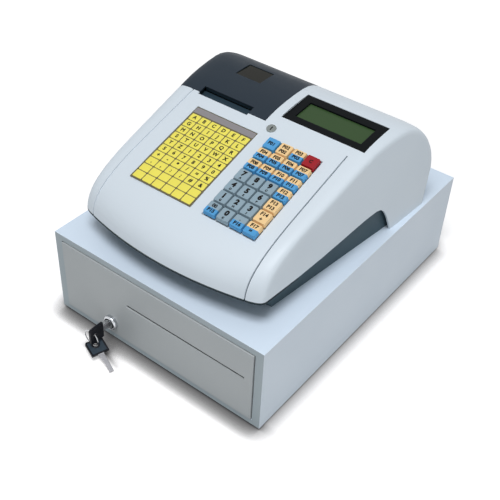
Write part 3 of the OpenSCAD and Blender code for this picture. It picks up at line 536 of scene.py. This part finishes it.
class REGISTER_OT_drawer(Operator):
    """Dress the drawer's housing, front panel, tray, runners and feet"""
    bl_idname = "register.drawer"
    bl_label = "Cash drawer"

    def execute(self, context):
        settings = context.scene.register_drawer
        coat = powder_coat("powder_coat_pale_grey", settings.coat)
        # zinc plate: a plain grey that shines softly
        steel = plated_steel("steel_zinc_plated", linear("#a9acb0"))
        # the front panel is drawn darker than the coat as painted shade, with a less blue tint of its own
        front = powder_coat("powder_coat_front_painted_shade", settings.panel)
        housing = dress("drawer_housing", "register", coat, settings.fold_radius, 3)
        housing.data.materials.append(powder_coat("powder_coat_frame_painted_shade", settings.frame))
        housing.data.materials.append(powder_coat("powder_coat_top_painted_light", settings.top))
        # the frame round the front panel is drawn darker as painted shade, and the top lighter and bluer as
        # painted light
        for face in housing.data.polygons:
            if face.normal.y < -0.9 and face.center.y < (PANEL_FRONT + 2) * MM:
                face.material_index = 1
            elif face.normal.z > 0.9 and face.center.z > (DRAWER_TOP - 0.1) * MM:
                face.material_index = 2
        self.panel(front, settings.fold_radius)
        dress("drawer_tub", "drawer", powder_coat("powder_coat_tray_grey", linear("#b9bdc2")), 0.4 * MM)
        dress("latch_solenoid", "register", steel)
        dress("rubber_feet", "register", rubber("rubber_moulded_black", linear("#2a2b2d")), 1.0 * MM, 3)
        return {"FINISHED"}

    @staticmethod
    def panel(coat, fold_radius):
        """The front panel: its face stands a little proud, and the slot's lower lip is rolled over."""
        obj = solid_copy("drawer_front", "drawer_front_skin")
        edit(obj, "VERT")
        choose_vertices(obj, lambda place: place.y < (PANEL_FRONT + 2) * MM)
        bpy.ops.transform.translate(value=(0, -PANEL_PROUD * MM, 0))
        face_y, middle = (PANEL_FRONT - PANEL_PROUD) * MM, PANEL_MIDDLE_Z * MM
        slot = [v.co.z for v in bmesh.from_edit_mesh(obj.data).verts
                if abs(v.co.y - face_y) < 0.1 * MM and SLOT_ZONE[0] * MM < v.co.z < SLOT_ZONE[1] * MM]
        lower, upper = min(slot), max(slot)
        choose_vertices(obj, lambda place: abs(place.z - upper) < 0.05 * MM)
        bpy.ops.transform.translate(value=(0, 0, SLOT_RISE * MM))
        bpy.ops.mesh.select_all(action="SELECT")
        bpy.ops.transform.resize(value=PANEL_TRIM, center_override=(0, 0, middle))
        leave_edit()
        edit(obj, "EDGE")
        lip = middle + (lower - middle) * PANEL_TRIM[2]
        choose_edges(obj, lambda a, b: abs(a.z - b.z) < 0.01 * MM and abs(a.z - lip) < 0.1 * MM
                     and max(a.y, b.y) < face_y + 0.1 * MM)
        bpy.ops.mesh.bevel(offset=SLOT_LIP * MM, segments=4, affect="EDGES")
        leave_edit()
        ease(obj, fold_radius * 0.8, 3, 60)
        smooth(obj)
        paint(obj, coat)
        hand_over(obj, "drawer", "drawer_front")


class REGISTER_OT_till(Operator):
    """Dress the till tray and its four note clips"""
    bl_idname = "register.till"
    bl_label = "Till tray"

    def execute(self, context):
        black = context.scene.register_drawer.till
        dress("till_insert", "drawer", abs_textured("abs_moulded_till_black", black), 0.6 * MM)
        dress("coin_cups", "drawer", abs_textured("abs_moulded_cups_black", shade(black, 1.25)), 0.6 * MM)
        # nylon: the same satin skin as the tray's, a little darker
        clip = abs_textured("nylon_moulded_black", linear("#1d1f22"))
        for i in range(1, 5):
            dress(f"bill_clip_{i}", f"clip_{i}", clip, 0.4 * MM)
        return {"FINISHED"}


# ---------------------------------------------------------------- lock and keys


class REGISTER_OT_lock(Operator):
    """Dress the lock and shape both keys and their ring"""
    bl_idname = "register.lock"
    bl_label = "Lock and keys"

    def execute(self, context):
        # nickel plate worn dull, on the blades; in the collar's sunk ring, a dark metal as a painted dark
        # reflection
        steel = plated_steel("steel_nickel_plated", linear("#a3a2a5"), 0.42)
        self.barrel(chrome_plate("brass_chrome_plated"),
                    plated_steel("steel_painted_dark_reflection", linear("#2a2c38"), 0.2))
        # die-cast zinc: a darker, duller grey than plate; drawn wire: bright
        dress("lock_plug", "lock", plated_steel("zinc_die_cast_plug", linear("#73787a"), 0.4), 0.2 * MM)
        dress("key_ring", "spare", plated_steel("steel_wire_bright", linear("#c2c4c6"), 0.15), 0)
        # the bows are near black, and the spare's has a lighter, blue-grey field
        black = abs_textured("abs_moulded_key_black", linear("#14161c"), 0.6, 0.02, (0.35, 0.45), 0.15)
        blue_grey_field = abs_textured("abs_moulded_key_blue_grey", linear("#26343f"), 0.6, 0.02, (0.4, 0.5), 0.3)
        shape_key("drawer_key", "lock", (black, steel, black), Matrix.Rotation(math.pi / 2, 3, "Y"))
        shape_key("spare_key", "spare", (black, steel, blue_grey_field),
                  Matrix.Rotation(SPARE_YAW, 3, "Z") @ Matrix.Rotation(SPARE_PITCH, 3, "X"))
        return {"FINISHED"}

    @staticmethod
    def barrel(chrome, dark):
        """The lock's barrel, with a turned collar: a rounded shoulder and a sunk ring round the plug, drawn
        dark as a painted reflection.
        """
        rear = solid_copy("lock_barrel", "lock_barrel_shaped")
        edit(rear)
        choose_faces(rear, lambda centre, normal: centre.y < (PANEL_FRONT - 0.05) * MM)
        bpy.ops.mesh.delete(type="FACE")
        leave_edit()
        deselect()
        bpy.ops.mesh.primitive_cylinder_add(vertices=64, radius=COLLAR_RADIUS * MM, depth=COLLAR_LENGTH * MM)
        collar = bpy.context.object
        half = COLLAR_LENGTH / 2 * MM
        edit(collar, "EDGE")
        choose_edges(collar, lambda a, b: min(a.z, b.z) > half * 0.99)
        bpy.ops.mesh.bevel(offset=COLLAR_SHOULDER * MM, segments=6, affect="EDGES")
        leave_edit()
        edit(collar)
        choose_faces(collar, lambda centre, normal: normal.z > 0.99 and centre.z > half * 0.99)
        bpy.ops.mesh.inset(thickness=0.4 * MM, depth=-COLLAR_SINK * MM)
        bpy.ops.mesh.inset(thickness=COLLAR_RING * MM, depth=0)
        extrude((0, 0, -half * 1.8))
        bpy.ops.mesh.delete(type="FACE")
        choose_faces(collar, lambda centre, normal: normal.z < -0.99)
        bpy.ops.mesh.delete(type="FACE")
        leave_edit()
        paint(rear, chrome, dark)
        paint(collar, chrome, dark)
        # the faces inside the shoulder take the painted dark reflection
        for face in collar.data.polygons:
            inside = math.hypot(face.center.x, face.center.y) < (COLLAR_RADIUS - COLLAR_SHOULDER) * MM
            face.material_index = 1 if inside else 0
        bake_place(collar, Matrix.Translation(Vector((LOCK_X, PANEL_FRONT - COLLAR_LENGTH / 2, LOCK_Z)) * MM)
                   @ Matrix.Rotation(math.pi / 2, 4, "X"))
        whole = join([rear, collar], "lock_barrel_shaped")
        smooth(whole)
        hand_over(whole, "drawer", "lock_barrel")


def shape_key(node, body, materials, turn):
    """A key from its CAD node: recessed fields inside a rim on the bow, and a bright blade.

    The materials are the bow's, the blade's and the fields'; turn is how the key stands in the frame.
    """
    obj = solid_copy(node, node + "_shaped")
    across, along, flat = (turn @ Vector(axis) for axis in ((1, 0, 0), (0, 1, 0), (0, 0, 1)))
    shoulder = min(v.co.dot(along) for v in obj.data.vertices) + BOW_LENGTH * MM
    edit(obj)
    # the bow's two flat sides, whose centres lie well short of the blade
    choose_faces(obj, lambda centre, normal: abs(normal.dot(flat)) > 0.99
                 and centre.dot(along) < shoulder - 6 * MM)
    bpy.ops.mesh.inset(thickness=BOW_RIM * MM, depth=0)
    bpy.ops.mesh.inset(thickness=BOW_SINK * MM, depth=-BOW_SINK * MM)
    leave_edit()
    if body == "spare":
        bow = [v.co.dot(across) for v in obj.data.vertices if v.co.dot(along) < shoulder]
        middle = sum(bow) / len(bow)
        # the blade past its neck
        for v in obj.data.vertices:
            if v.co.dot(along) > shoulder + 5 * MM:
                v.co -= across * (v.co.dot(across) - middle) * BLADE_SLIMMING
    ease(obj, 0.25 * MM, 2, 50)
    smooth(obj)
    paint(obj, *materials)
    levels = [v.co.dot(flat) for v in obj.data.vertices]
    centre, proud = (max(levels) + min(levels)) / 2, (max(levels) - min(levels)) / 2 - 0.2 * MM
    for face in obj.data.polygons:
        field = abs(face.normal.dot(flat)) > 0.99 and abs(face.center.dot(flat) - centre) < proud
        blade = face.center.dot(along) > shoulder + 0.05 * MM
        face.material_index = 1 if blade else 2 if field else 0
    hand_over(obj, body, node)


# ---------------------------------------------------------------- register shell


class REGISTER_OT_shell(Operator):
    """Dress the upper shell, the lower case and the fittings on them"""
    bl_idname = "register.shell"
    bl_label = "Register shell"

    def execute(self, context):
        settings = context.scene.register_shell
        shell = abs_textured("abs_moulded_shell", settings.shell)
        # the dark plastic below is matt, so that it stays dark in a bright room
        base = abs_textured("abs_moulded_base", settings.base, gloss=0.1)
        # painted shade: the lip is drawn far darker than the lower case, as the shade below the shell's front
        # edge
        self.lip(abs_textured("abs_moulded_lip_painted_shade", shade(settings.base, 0.4), gloss=0.1))
        case = dress("top_case", "register", shell, settings.edge_radius, 2, 45.0)
        # painted shade: the floor of the right long seam is drawn dark, as the shade in its groove
        case.data.materials.append(abs_textured("abs_painted_seam_shade", settings.gap, gloss=0.1))
        for face in case.data.polygons:
            if abs(face.center.x - SEAM_X * MM) < SEAM_HALF_WIDTH * MM and face.center.z > SEAM_LOW * MM:
                face.material_index = 1
        dress("bottom_case", "register", base, 0.8 * MM)
        # zinc-plated screw heads shine softly; the nylon inlet is a satin black
        dress("case_screws", "register", plated_steel("steel_screws_zinc", linear("#a9acb0")))
        dress("power_inlet", "register", abs_textured("nylon_moulded_inlet", linear("#17181a")), 0.4 * MM)
        paint(frame["nodes"]["main_board"], board_mask("fibre_board_solder_mask"))
        return {"FINISHED"}

    @staticmethod
    def lip(material):
        """The lower case's lip, drawn darker than the lower case as painted shade, which shows as a dark line
        below the shell's front edge.

        It starts as the shell's rim faces, so it is made before the shell is dressed.
        """
        lip = solid_copy("top_case", "front_lip_painted_shade")
        edit(lip)
        choose_faces(lip, lambda centre, normal: not (normal.z < -0.9 and centre.z < RIM_Z * MM
                                                      and centre.y < RIM_BACK * MM))
        bpy.ops.mesh.delete(type="FACE")
        bpy.ops.mesh.select_all(action="SELECT")
        extrude((0, 0, -LIP_HEIGHT * MM))
        leave_edit()
        paint(lip, material)
        hand_over(lip, "register")


class REGISTER_OT_printer(Operator):
    """Dress the printer cover, its window, the paper roll and the printer"""
    bl_idname = "register.printer"
    bl_label = "Ticket printer"

    def execute(self, context):
        settings = context.scene.register_shell
        cover = abs_textured("abs_moulded_cover", settings.cover, gloss=0.1)
        dress("printer_cover", "cover", cover, settings.edge_radius)
        window = dress("cover_window", "cover", smoked_acrylic("acrylic_smoked_window"))
        bake_place(window, Matrix.Translation((0, 0, WINDOW_LIFT * MM)))
        dress("paper_roll", "roll", thermal_paper("paper_thermal_roll"))
        # nylon: matt and dark, so that the mechanism stays in the shade
        nylon = abs_textured("nylon_moulded_printer", linear("#2b3b45"), gloss=0.1)
        dress("printer_frame", "register", nylon)
        self.tear_bar(nylon)
        dress("platen_roller", "platen", rubber("rubber_ground_platen", linear("#1b1c1e")))
        return {"FINISHED"}

    @staticmethod
    def tear_bar(material):
        """The bar that hangs from the cover behind the paper exit and leaves the paper a narrow gap."""
        deselect()
        bpy.ops.mesh.primitive_cube_add(size=1, location=(0, 0, 0))
        bar = bpy.context.object
        bar.name = "tear_bar"
        bar.scale = Vector(TEAR_BAR) * MM
        bpy.ops.object.transform_apply(scale=True)
        ease(bar, 0.25 * MM)
        smooth(bar)
        bake_place(bar, on_slope(*TEAR_BAR_PLACE))
        paint(bar, material)
        hand_over(bar, "cover")


class REGISTER_OT_displays(Operator):
    """Dress the operator display and the rear display"""
    bl_idname = "register.displays"
    bl_label = "Displays"

    def execute(self, context):
        settings = context.scene.register_display
        bezel = polished_plastic("abs_polished_bezel", settings.bezel, 0.35, **{"Specular IOR Level": 0.04})
        dress("display_bezel", "register", bezel, 0.5 * MM, 3)
        dress("lcd_panel", "register", lcd_glass("glass_display_green", settings.glass), 0)
        # smoked acrylic over the unlit rear display: black and mirror-smooth
        lens = polished_plastic("acrylic_smoked_lens", linear("#111418"), 0.1)
        dress("rear_display", "register", lens, 0.5 * MM)
        return {"FINISHED"}


# ---------------------------------------------------------------- keyboards


class REGISTER_OT_flat_keyboard(Operator):
    """Shape the flat keyboard: its sheet, the embossed keys and their letters"""
    bl_idname = "register.flat_keyboard"
    bl_label = "Flat keyboard"

    def execute(self, context):
        settings = context.scene.register_keyboard
        dress("flat_keyboard", "register", printed_film("polyester_printed_sheet", settings.sheet))
        strip = self.pad(SHEET_LEFT + SHEET_WIDTH / 2, SHEET_LENGTH - LABEL_STRIP / 2 - STRIP_DROP,
                         SHEET_WIDTH - 2 * STRIP_SIDE, LABEL_STRIP - STRIP_TRIM)
        strip.name = "flat_key_strip"
        paint(strip, printed_film("polyester_printed_strip", settings.strip))
        hand_over(strip, "register")
        pads = [self.pad(*label_centre(r, c), PAD_SHARE[0] * LABEL_PITCH_X, PAD_SHARE[1] * LABEL_PITCH_S)
                for r in range(LABEL_ROWS) for c in range(LABEL_COLUMNS)]
        pads = join(pads, "flat_keys")
        smooth(pads, 40, False)
        paint(pads, printed_film("polyester_embossed_yellow", settings.yellow))
        hand_over(pads, "register", "flat_key_labels")
        signs = "ABCDEFGHIJKLMNOPQRSTUVWXYZ1234567890+-*/=%.,:;#&"
        letters = []
        for i, sign in enumerate(signs):
            r, c = divmod(i, LABEL_COLUMNS)
            x, s = label_centre(LABEL_ROWS - 1 - r, c)
            letters.append(lettering(sign, FLAT_SIGN, FLAT_SIGN_WEIGHT, on_slope(x, s, FLAT_SIGN_OUT)))
        letters = join(letters, "flat_key_letters")
        # printed ink: black and nearly without shine
        paint(letters, printed_film("ink_printed_black", settings.ink, 0.15))
        hand_over(letters, "register")
        return {"FINISHED"}

    @staticmethod
    def pad(x, s, width, length):
        """A thin embossed key with rounded corners; the place and the size are in millimetres."""
        deselect()
        bpy.ops.mesh.primitive_plane_add(size=1, location=(0, 0, 0))
        obj = bpy.context.object
        obj.scale = (width * MM, length * MM, 1)
        bpy.ops.object.transform_apply(scale=True)
        edit(obj, "VERT")
        bpy.ops.mesh.select_all(action="SELECT")
        bpy.ops.mesh.bevel(offset=PAD_CORNER * MM, segments=3, affect="VERTICES")
        bpy.ops.mesh.select_mode(type="FACE")
        bpy.ops.mesh.select_all(action="SELECT")
        extrude((0, 0, PAD_HEIGHT * MM))
        bpy.ops.mesh.inset(thickness=PAD_SLOPE * MM, depth=PAD_CROWN * MM)
        leave_edit()
        bake_place(obj, on_slope(x, s, -PAD_SINK))
        return obj


def label_centre(row, column):
    """Place of a flat key on the slope in millimetres; rows count up the slope."""
    return SHEET_LEFT + SHEET_EDGE + (column + 0.5) * LABEL_PITCH_X, SHEET_EDGE + (row + 0.5) * LABEL_PITCH_S


# Colours of each raised key, the half further up the slope first, and what is printed on the halves
KEY_PLAN = [
    [("blue", "blue", "F01", ""), ("beige", "beige", "F02", "P02"), ("beige", "blue", "F03", "P03"),
     ("red", "red", "C", "")],
    [("beige", "blue", "F04", "P04"), ("beige", "blue", "F05", "P05"), ("beige", "blue", "F06", "P06"),
     ("beige", "blue", "F07", "P07")],
    [("beige", "blue", "F08", "P08"), ("beige", "blue", "F09", "P09"), ("beige", "blue", "F10", "P10"),
     ("beige", "blue", "F11", "P11")],
    [("grey", "grey", "7", "A"), ("grey", "grey", "8", "B"), ("grey", "grey", "9", "C"),
     ("beige", "blue", "F12", "P12")],
    [("grey", "grey", "4", "D"), ("grey", "grey", "5", "E"), ("grey", "grey", "6", "F"),
     ("beige", "beige", "F13", "P13")],
    [("grey", "grey", "1", "G"), ("grey", "grey", "2", "H"), ("grey", "grey", "3", "J"),
     ("beige", "beige", "F14", "+")],
    [("grey", "blue", "00", "P15"), ("grey", "grey", "0", "K"), ("grey", "blue", ".", "P16"),
     ("beige", "blue", "F17", "=")],
]


class REGISTER_OT_raised_keys(Operator):
    """Shape one keycap, copy it to all the raised keys and print their legends"""
    bl_idname = "register.raised_keys"
    bl_label = "Raised keys"

    def execute(self, context):
        settings = context.scene.register_keyboard
        finishes = {name: polished_plastic("abs_polished_cap_" + name, getattr(settings, name), 0.3,
                                           **{"Specular IOR Level": 0.25})
                    for name in ("blue", "beige", "grey", "red")}
        # printed ink: black and nearly without shine
        ink = printed_film("ink_printed_key", settings.ink, 0.1)
        pattern = self.keycap()
        for r in range(KEY_ROWS):
            for c in range(KEY_COLUMNS):
                upper, lower, *texts = KEY_PLAN[r][c]
                place = on_slope(KEYS_LEFT + (c + 0.5) * KEY_PITCH, (KEY_ROWS - r - 0.5) * KEY_PITCH)
                cap = pattern.copy()
                cap.data = pattern.data.copy()
                context.scene.collection.objects.link(cap)
                paint(cap, finishes[upper], finishes[lower])
                for face in cap.data.polygons:
                    face.material_index = 0 if face.center.y > CAP_SPLIT * MM else 1
                bake_place(cap, place)
                node = f"key_{r + 1}{c + 1}"
                cap.name = node + "_cap"
                hand_over(cap, node, node)
                signs = [self.legend(texts, half, place) for half in (0, 1) if texts[half]]
                sign = join(signs, node + "_legend")
                paint(sign, ink)
                hand_over(sign, node)
        bpy.data.objects.remove(pattern)
        return {"FINISHED"}

    @staticmethod
    def legend(texts, half, place):
        """What is printed on one half of a cap: a digit is large and its second sign small."""
        digit = texts[0].isdigit() and len(texts[0]) == 1
        heights, ups, weight = DIGIT_LEGEND if digit else WORD_LEGEND
        up = ups[half] if texts[1] else CAP_SHIFT
        spot = place @ Matrix.Translation(Vector((0, up, CAP_TOP)) * MM)
        return lettering(texts[half], heights[half], weight, spot)

    @staticmethod
    def keycap():
        """A moulded cap: a square foot that tapers to a slightly dished top with rounded corners."""
        deselect()
        bpy.ops.mesh.primitive_cube_add(size=1, location=(0, 0, CAP_MIDDLE * MM))
        obj = bpy.context.object
        obj.scale = Vector((CAP_FOOT, CAP_FOOT, CAP_HEIGHT)) * MM
        bpy.ops.object.transform_apply(location=True, scale=True)
        edit(obj)
        choose_faces(obj, lambda centre, normal: normal.z > 0.9)
        taper = CAP_HEAD / CAP_FOOT
        bpy.ops.transform.resize(value=(taper, taper, 1), center_override=(0, 0, 0))
        bpy.ops.transform.translate(value=(0, CAP_SHIFT * MM, 0))
        choose_faces(obj, lambda centre, normal: normal.z < -0.9)
        bpy.ops.mesh.inset(thickness=CAP_WALL * MM, depth=0)
        extrude((0, 0, CAP_HOLLOW * MM))
        leave_edit()
        edit(obj, "EDGE")
        choose_edges(obj, lambda a, b: abs(a.z - b.z) > CAP_HEIGHT * 0.75 * MM)
        bpy.ops.mesh.bevel(offset=CAP_CORNER * MM, segments=3, affect="EDGES")
        leave_edit()
        edit(obj)
        choose_faces(obj, lambda centre, normal: normal.z > 0.9 and centre.z > CAP_HEIGHT * 0.75 * MM)
        bpy.ops.mesh.inset(thickness=CAP_RIM * MM, depth=0)
        bpy.ops.mesh.inset(thickness=0.5 * MM, depth=-CAP_DISH * MM)
        leave_edit()
        ease(obj, 0.35 * MM, 2, 30)
        edit(obj)
        bpy.ops.mesh.select_all(action="SELECT")
        bpy.ops.mesh.bisect(plane_co=(0, CAP_SPLIT * MM, 0), plane_no=(0, 1, 0))
        leave_edit()
        smooth(obj, 40)
        return obj


class REGISTER_OT_mode_lock(Operator):
    """Dress the mode lock beside the keyboards"""
    bl_idname = "register.mode_lock"
    bl_label = "Mode lock"

    def execute(self, context):
        # turned and nickel-plated: a soft grey metal with a clean edge
        dress("mode_lock", "mode", plated_steel("steel_turned_nickel", linear("#868c8b"), 0.35), segments=3)
        return {"FINISHED"}


# ---------------------------------------------------------------- stage


# Camera: the point that it looks at, and its sensor's width in millimetres
CAMERA_TARGET = Vector((-20.449, 24.38, 37.012)) * MM
SENSOR_WIDTH = 36.0

# Floor's painted shade: its reach, and the Y between which it weakens beside the drawer and ends in front of
# it, in millimetres; its curve, its darkest level, and its powers before the drawer and beside it
SHADE_REACH, SHADE_TURNS, SHADE_ENDS = 26.0, (-210.0, -180.0), (-234.0, -222.0)
SHADE_CURVE, SHADE_DARKEST, SHADE_POWERS = 2.5, 0.1, (2.0, 0.75)

# Floor's glow: the distances from the middle between which it grows, in metres, and its strength at both
GLOW_REACH, GLOW_LEVELS = (0.5, 1.6), (0.38, 1.0)


def camera_matrix(settings, target):
    """Camera on a sphere round the target, rolled about its own axis."""
    az, el, roll = settings.azimuth, settings.elevation, settings.roll
    back = Vector((math.sin(az) * math.cos(el), -math.cos(az) * math.cos(el), math.sin(el)))
    level = Vector((0, 0, 1)).cross(back).normalized()
    upright = back.cross(level)
    right = level * math.cos(roll) + upright * math.sin(roll)
    up = upright * math.cos(roll) - level * math.sin(roll)
    matrix = Matrix((right, up, back)).transposed().to_4x4()
    matrix.translation = target + back * settings.distance
    return matrix


def seen_directly(tree):
    """1 for what is seen, also in a mirror or through glass, and 0 for light on other things."""
    rays = add_node(tree, "ShaderNodeLightPath")
    first = add_node(tree, "ShaderNodeMath", {0: rays.outputs["Is Camera Ray"],
                                              1: rays.outputs["Is Glossy Ray"]}, operation="MAXIMUM")
    both = add_node(tree, "ShaderNodeMath", {0: first.outputs[0], 1: rays.outputs["Is Transmission Ray"]},
                    operation="MAXIMUM")
    return both.outputs[0]


class REGISTER_OT_stage(Operator):
    """Set up the floor, the lamps, the world and the camera"""
    bl_idname = "register.stage"
    bl_label = "Stage"

    def execute(self, context):
        settings = context.scene.register_stage
        scene = context.scene
        scene.view_settings.view_transform = "Standard"
        deselect()
        bpy.ops.mesh.primitive_plane_add(size=8, location=(0, 0, 0))
        floor = context.object
        floor.name = "floor"
        paint(floor, self.paper_floor())
        self.lamp("overhead_lamp", (0.36, -0.75, 2.1), 0.9, 31, linear("#f6faff"))
        self.lamp("side_lamp", (2.2, -0.2, 0.5), 1.0, 4.5, linear("#f3faff"))
        # the room lights the object plainly, and what is seen of it is white
        world = bpy.data.worlds.new("soft_room")
        scene.world = world
        world.use_nodes = True
        tree = world.node_tree
        tree.nodes.clear()
        room = add_node(tree, "ShaderNodeBackground", {"Color": (*linear("#f1faff"), 1.0), "Strength": 0.34})
        white = add_node(tree, "ShaderNodeBackground", {"Color": (*linear("#ffffff"), 1.0), "Strength": 1.0})
        seen = add_node(tree, "ShaderNodeMixShader", {0: seen_directly(tree), 1: room.outputs[0],
                                                      2: white.outputs[0]})
        add_node(tree, "ShaderNodeOutputWorld", {"Surface": seen.outputs[0]})
        camera = bpy.data.objects.new("camera", bpy.data.cameras.new("camera"))
        scene.collection.objects.link(camera)
        camera.data.lens = settings.lens
        camera.data.sensor_width = SENSOR_WIDTH
        camera.matrix_world = camera_matrix(settings, CAMERA_TARGET)
        scene.camera = camera
        return {"FINISHED"}

    @staticmethod
    def lamp(name, place, width, watts, rgb):
        """A square area lamp that points at the object; the place and the width are in metres."""
        deselect()
        bpy.ops.object.light_add(type="AREA", location=place)
        lamp = bpy.context.object
        lamp.name = name
        lamp.data.size = width
        lamp.data.energy = watts
        lamp.data.color = rgb
        lamp.rotation_euler = (Vector((0, 0, 0.1)) - Vector(place)).to_track_quat("-Z", "Y").to_euler()

    @staticmethod
    def paper_floor():
        """Seamless background paper: matt and white to the camera, greyer in the light it throws back."""
        material, tree, surface, place = start_material("paper_background_white", linear("#c9cbcd"), 0.9)
        grain_bump(tree, surface, place, 3.0, 0.02, 0.2, 2.0)

        y = add_node(tree, "ShaderNodeSeparateXYZ", {0: place}).outputs["Y"]
        # painted shade close under whatever stands on the paper, from how near things are
        close = add_node(tree, "ShaderNodeAmbientOcclusion", {"Distance": SHADE_REACH * MM}, samples=16)
        depth = add_node(tree, "ShaderNodeMath", {0: close.outputs["AO"], 1: SHADE_CURVE}, operation="POWER")
        near = add_node(tree, "ShaderNodeMapRange", {"Value": depth.outputs[0], "To Min": SHADE_DARKEST})
        # it is deeper before the drawer's front than beside it
        power = add_node(tree, "ShaderNodeMapRange", {
            "Value": y, "From Min": SHADE_TURNS[0] * MM, "From Max": SHADE_TURNS[1] * MM,
            "To Min": SHADE_POWERS[0], "To Max": SHADE_POWERS[1]})
        near = add_node(tree, "ShaderNodeMath", {0: near.outputs[0], 1: power.outputs[0]}, operation="POWER")
        # it ends where the paper is clear of the drawer's front, so that little painted shade lies under the
        # hanging key
        clear = add_node(tree, "ShaderNodeMapRange", {
            "Value": y, "From Min": SHADE_ENDS[0] * MM, "From Max": SHADE_ENDS[1] * MM,
            "To Min": 1.0, "To Max": 0.0})
        near = add_node(tree, "ShaderNodeMath", {0: near.outputs[0], 1: clear.outputs[0]},
                        operation="MAXIMUM")
        # the paper is white by its own glow where the lamps don't reach it
        reach = add_node(tree, "ShaderNodeVectorMath", {0: place}, operation="LENGTH")
        far = add_node(tree, "ShaderNodeMapRange", {
            "Value": reach.outputs["Value"], "From Min": GLOW_REACH[0], "From Max": GLOW_REACH[1],
            "To Min": GLOW_LEVELS[0], "To Max": GLOW_LEVELS[1]})
        level = add_node(tree, "ShaderNodeMath", {0: near.outputs[0], 1: far.outputs[0]},
                         operation="MULTIPLY")
        white = add_node(tree, "ShaderNodeVectorMath", {0: linear("#f9f3f0"), "Scale": near.outputs[0]},
                         operation="SCALE")
        paper = add_node(tree, "ShaderNodeBsdfDiffuse", {"Color": white.outputs[0]})
        glow = add_node(tree, "ShaderNodeEmission", {"Color": (*linear("#ffffff"), 1.0),
                                                     "Strength": level.outputs[0]})
        both = add_node(tree, "ShaderNodeAddShader", {0: paper.outputs[0], 1: glow.outputs[0]})
        seen = add_node(tree, "ShaderNodeMixShader", {0: seen_directly(tree), 1: surface.outputs["BSDF"],
                                                      2: both.outputs[0]})
        output = next(node for node in tree.nodes if node.type == "OUTPUT_MATERIAL")
        tree.links.new(seen.outputs[0], output.inputs["Surface"])
        return material


# ---------------------------------------------------------------- panel and run


class REGISTER_PT_looks(Panel):
    """Buttons and settings of the cash register's looks"""
    bl_idname = "REGISTER_PT_looks"
    bl_label = "Cash register"
    bl_space_type = "VIEW_3D"
    bl_region_type = "UI"
    bl_category = "Register"

    def draw(self, context):
        layout = self.layout
        for group in GROUPS:
            box = layout.box()
            for key in GROUPS[group].__annotations__:
                box.prop(getattr(context.scene, group), key)
        for step in STEPS:
            layout.operator(step.bl_idname)


GROUPS = {
    "register_drawer": DrawerSettings,
    "register_shell": ShellSettings,
    "register_keyboard": KeyboardSettings,
    "register_display": DisplaySettings,
    "register_stage": StageSettings,
}
STEPS = (
    REGISTER_OT_drawer,
    REGISTER_OT_till,
    REGISTER_OT_lock,
    REGISTER_OT_shell,
    REGISTER_OT_printer,
    REGISTER_OT_displays,
    REGISTER_OT_flat_keyboard,
    REGISTER_OT_raised_keys,
    REGISTER_OT_mode_lock,
    REGISTER_OT_stage,
)


def register():
    for cls in (*GROUPS.values(), *STEPS, REGISTER_PT_looks):
        bpy.utils.register_class(cls)
    for name, cls in GROUPS.items():
        setattr(bpy.types.Scene, name, PointerProperty(type=cls))


def unregister():
    for name in GROUPS:
        delattr(bpy.types.Scene, name)
    for cls in reversed((*GROUPS.values(), *STEPS, REGISTER_PT_looks)):
        bpy.utils.unregister_class(cls)


def main():
    register()
    for step in STEPS:
        area, verb = step.bl_idname.split(".")
        getattr(getattr(bpy.ops, area), verb)()


if __name__ == "__main__":
    main()
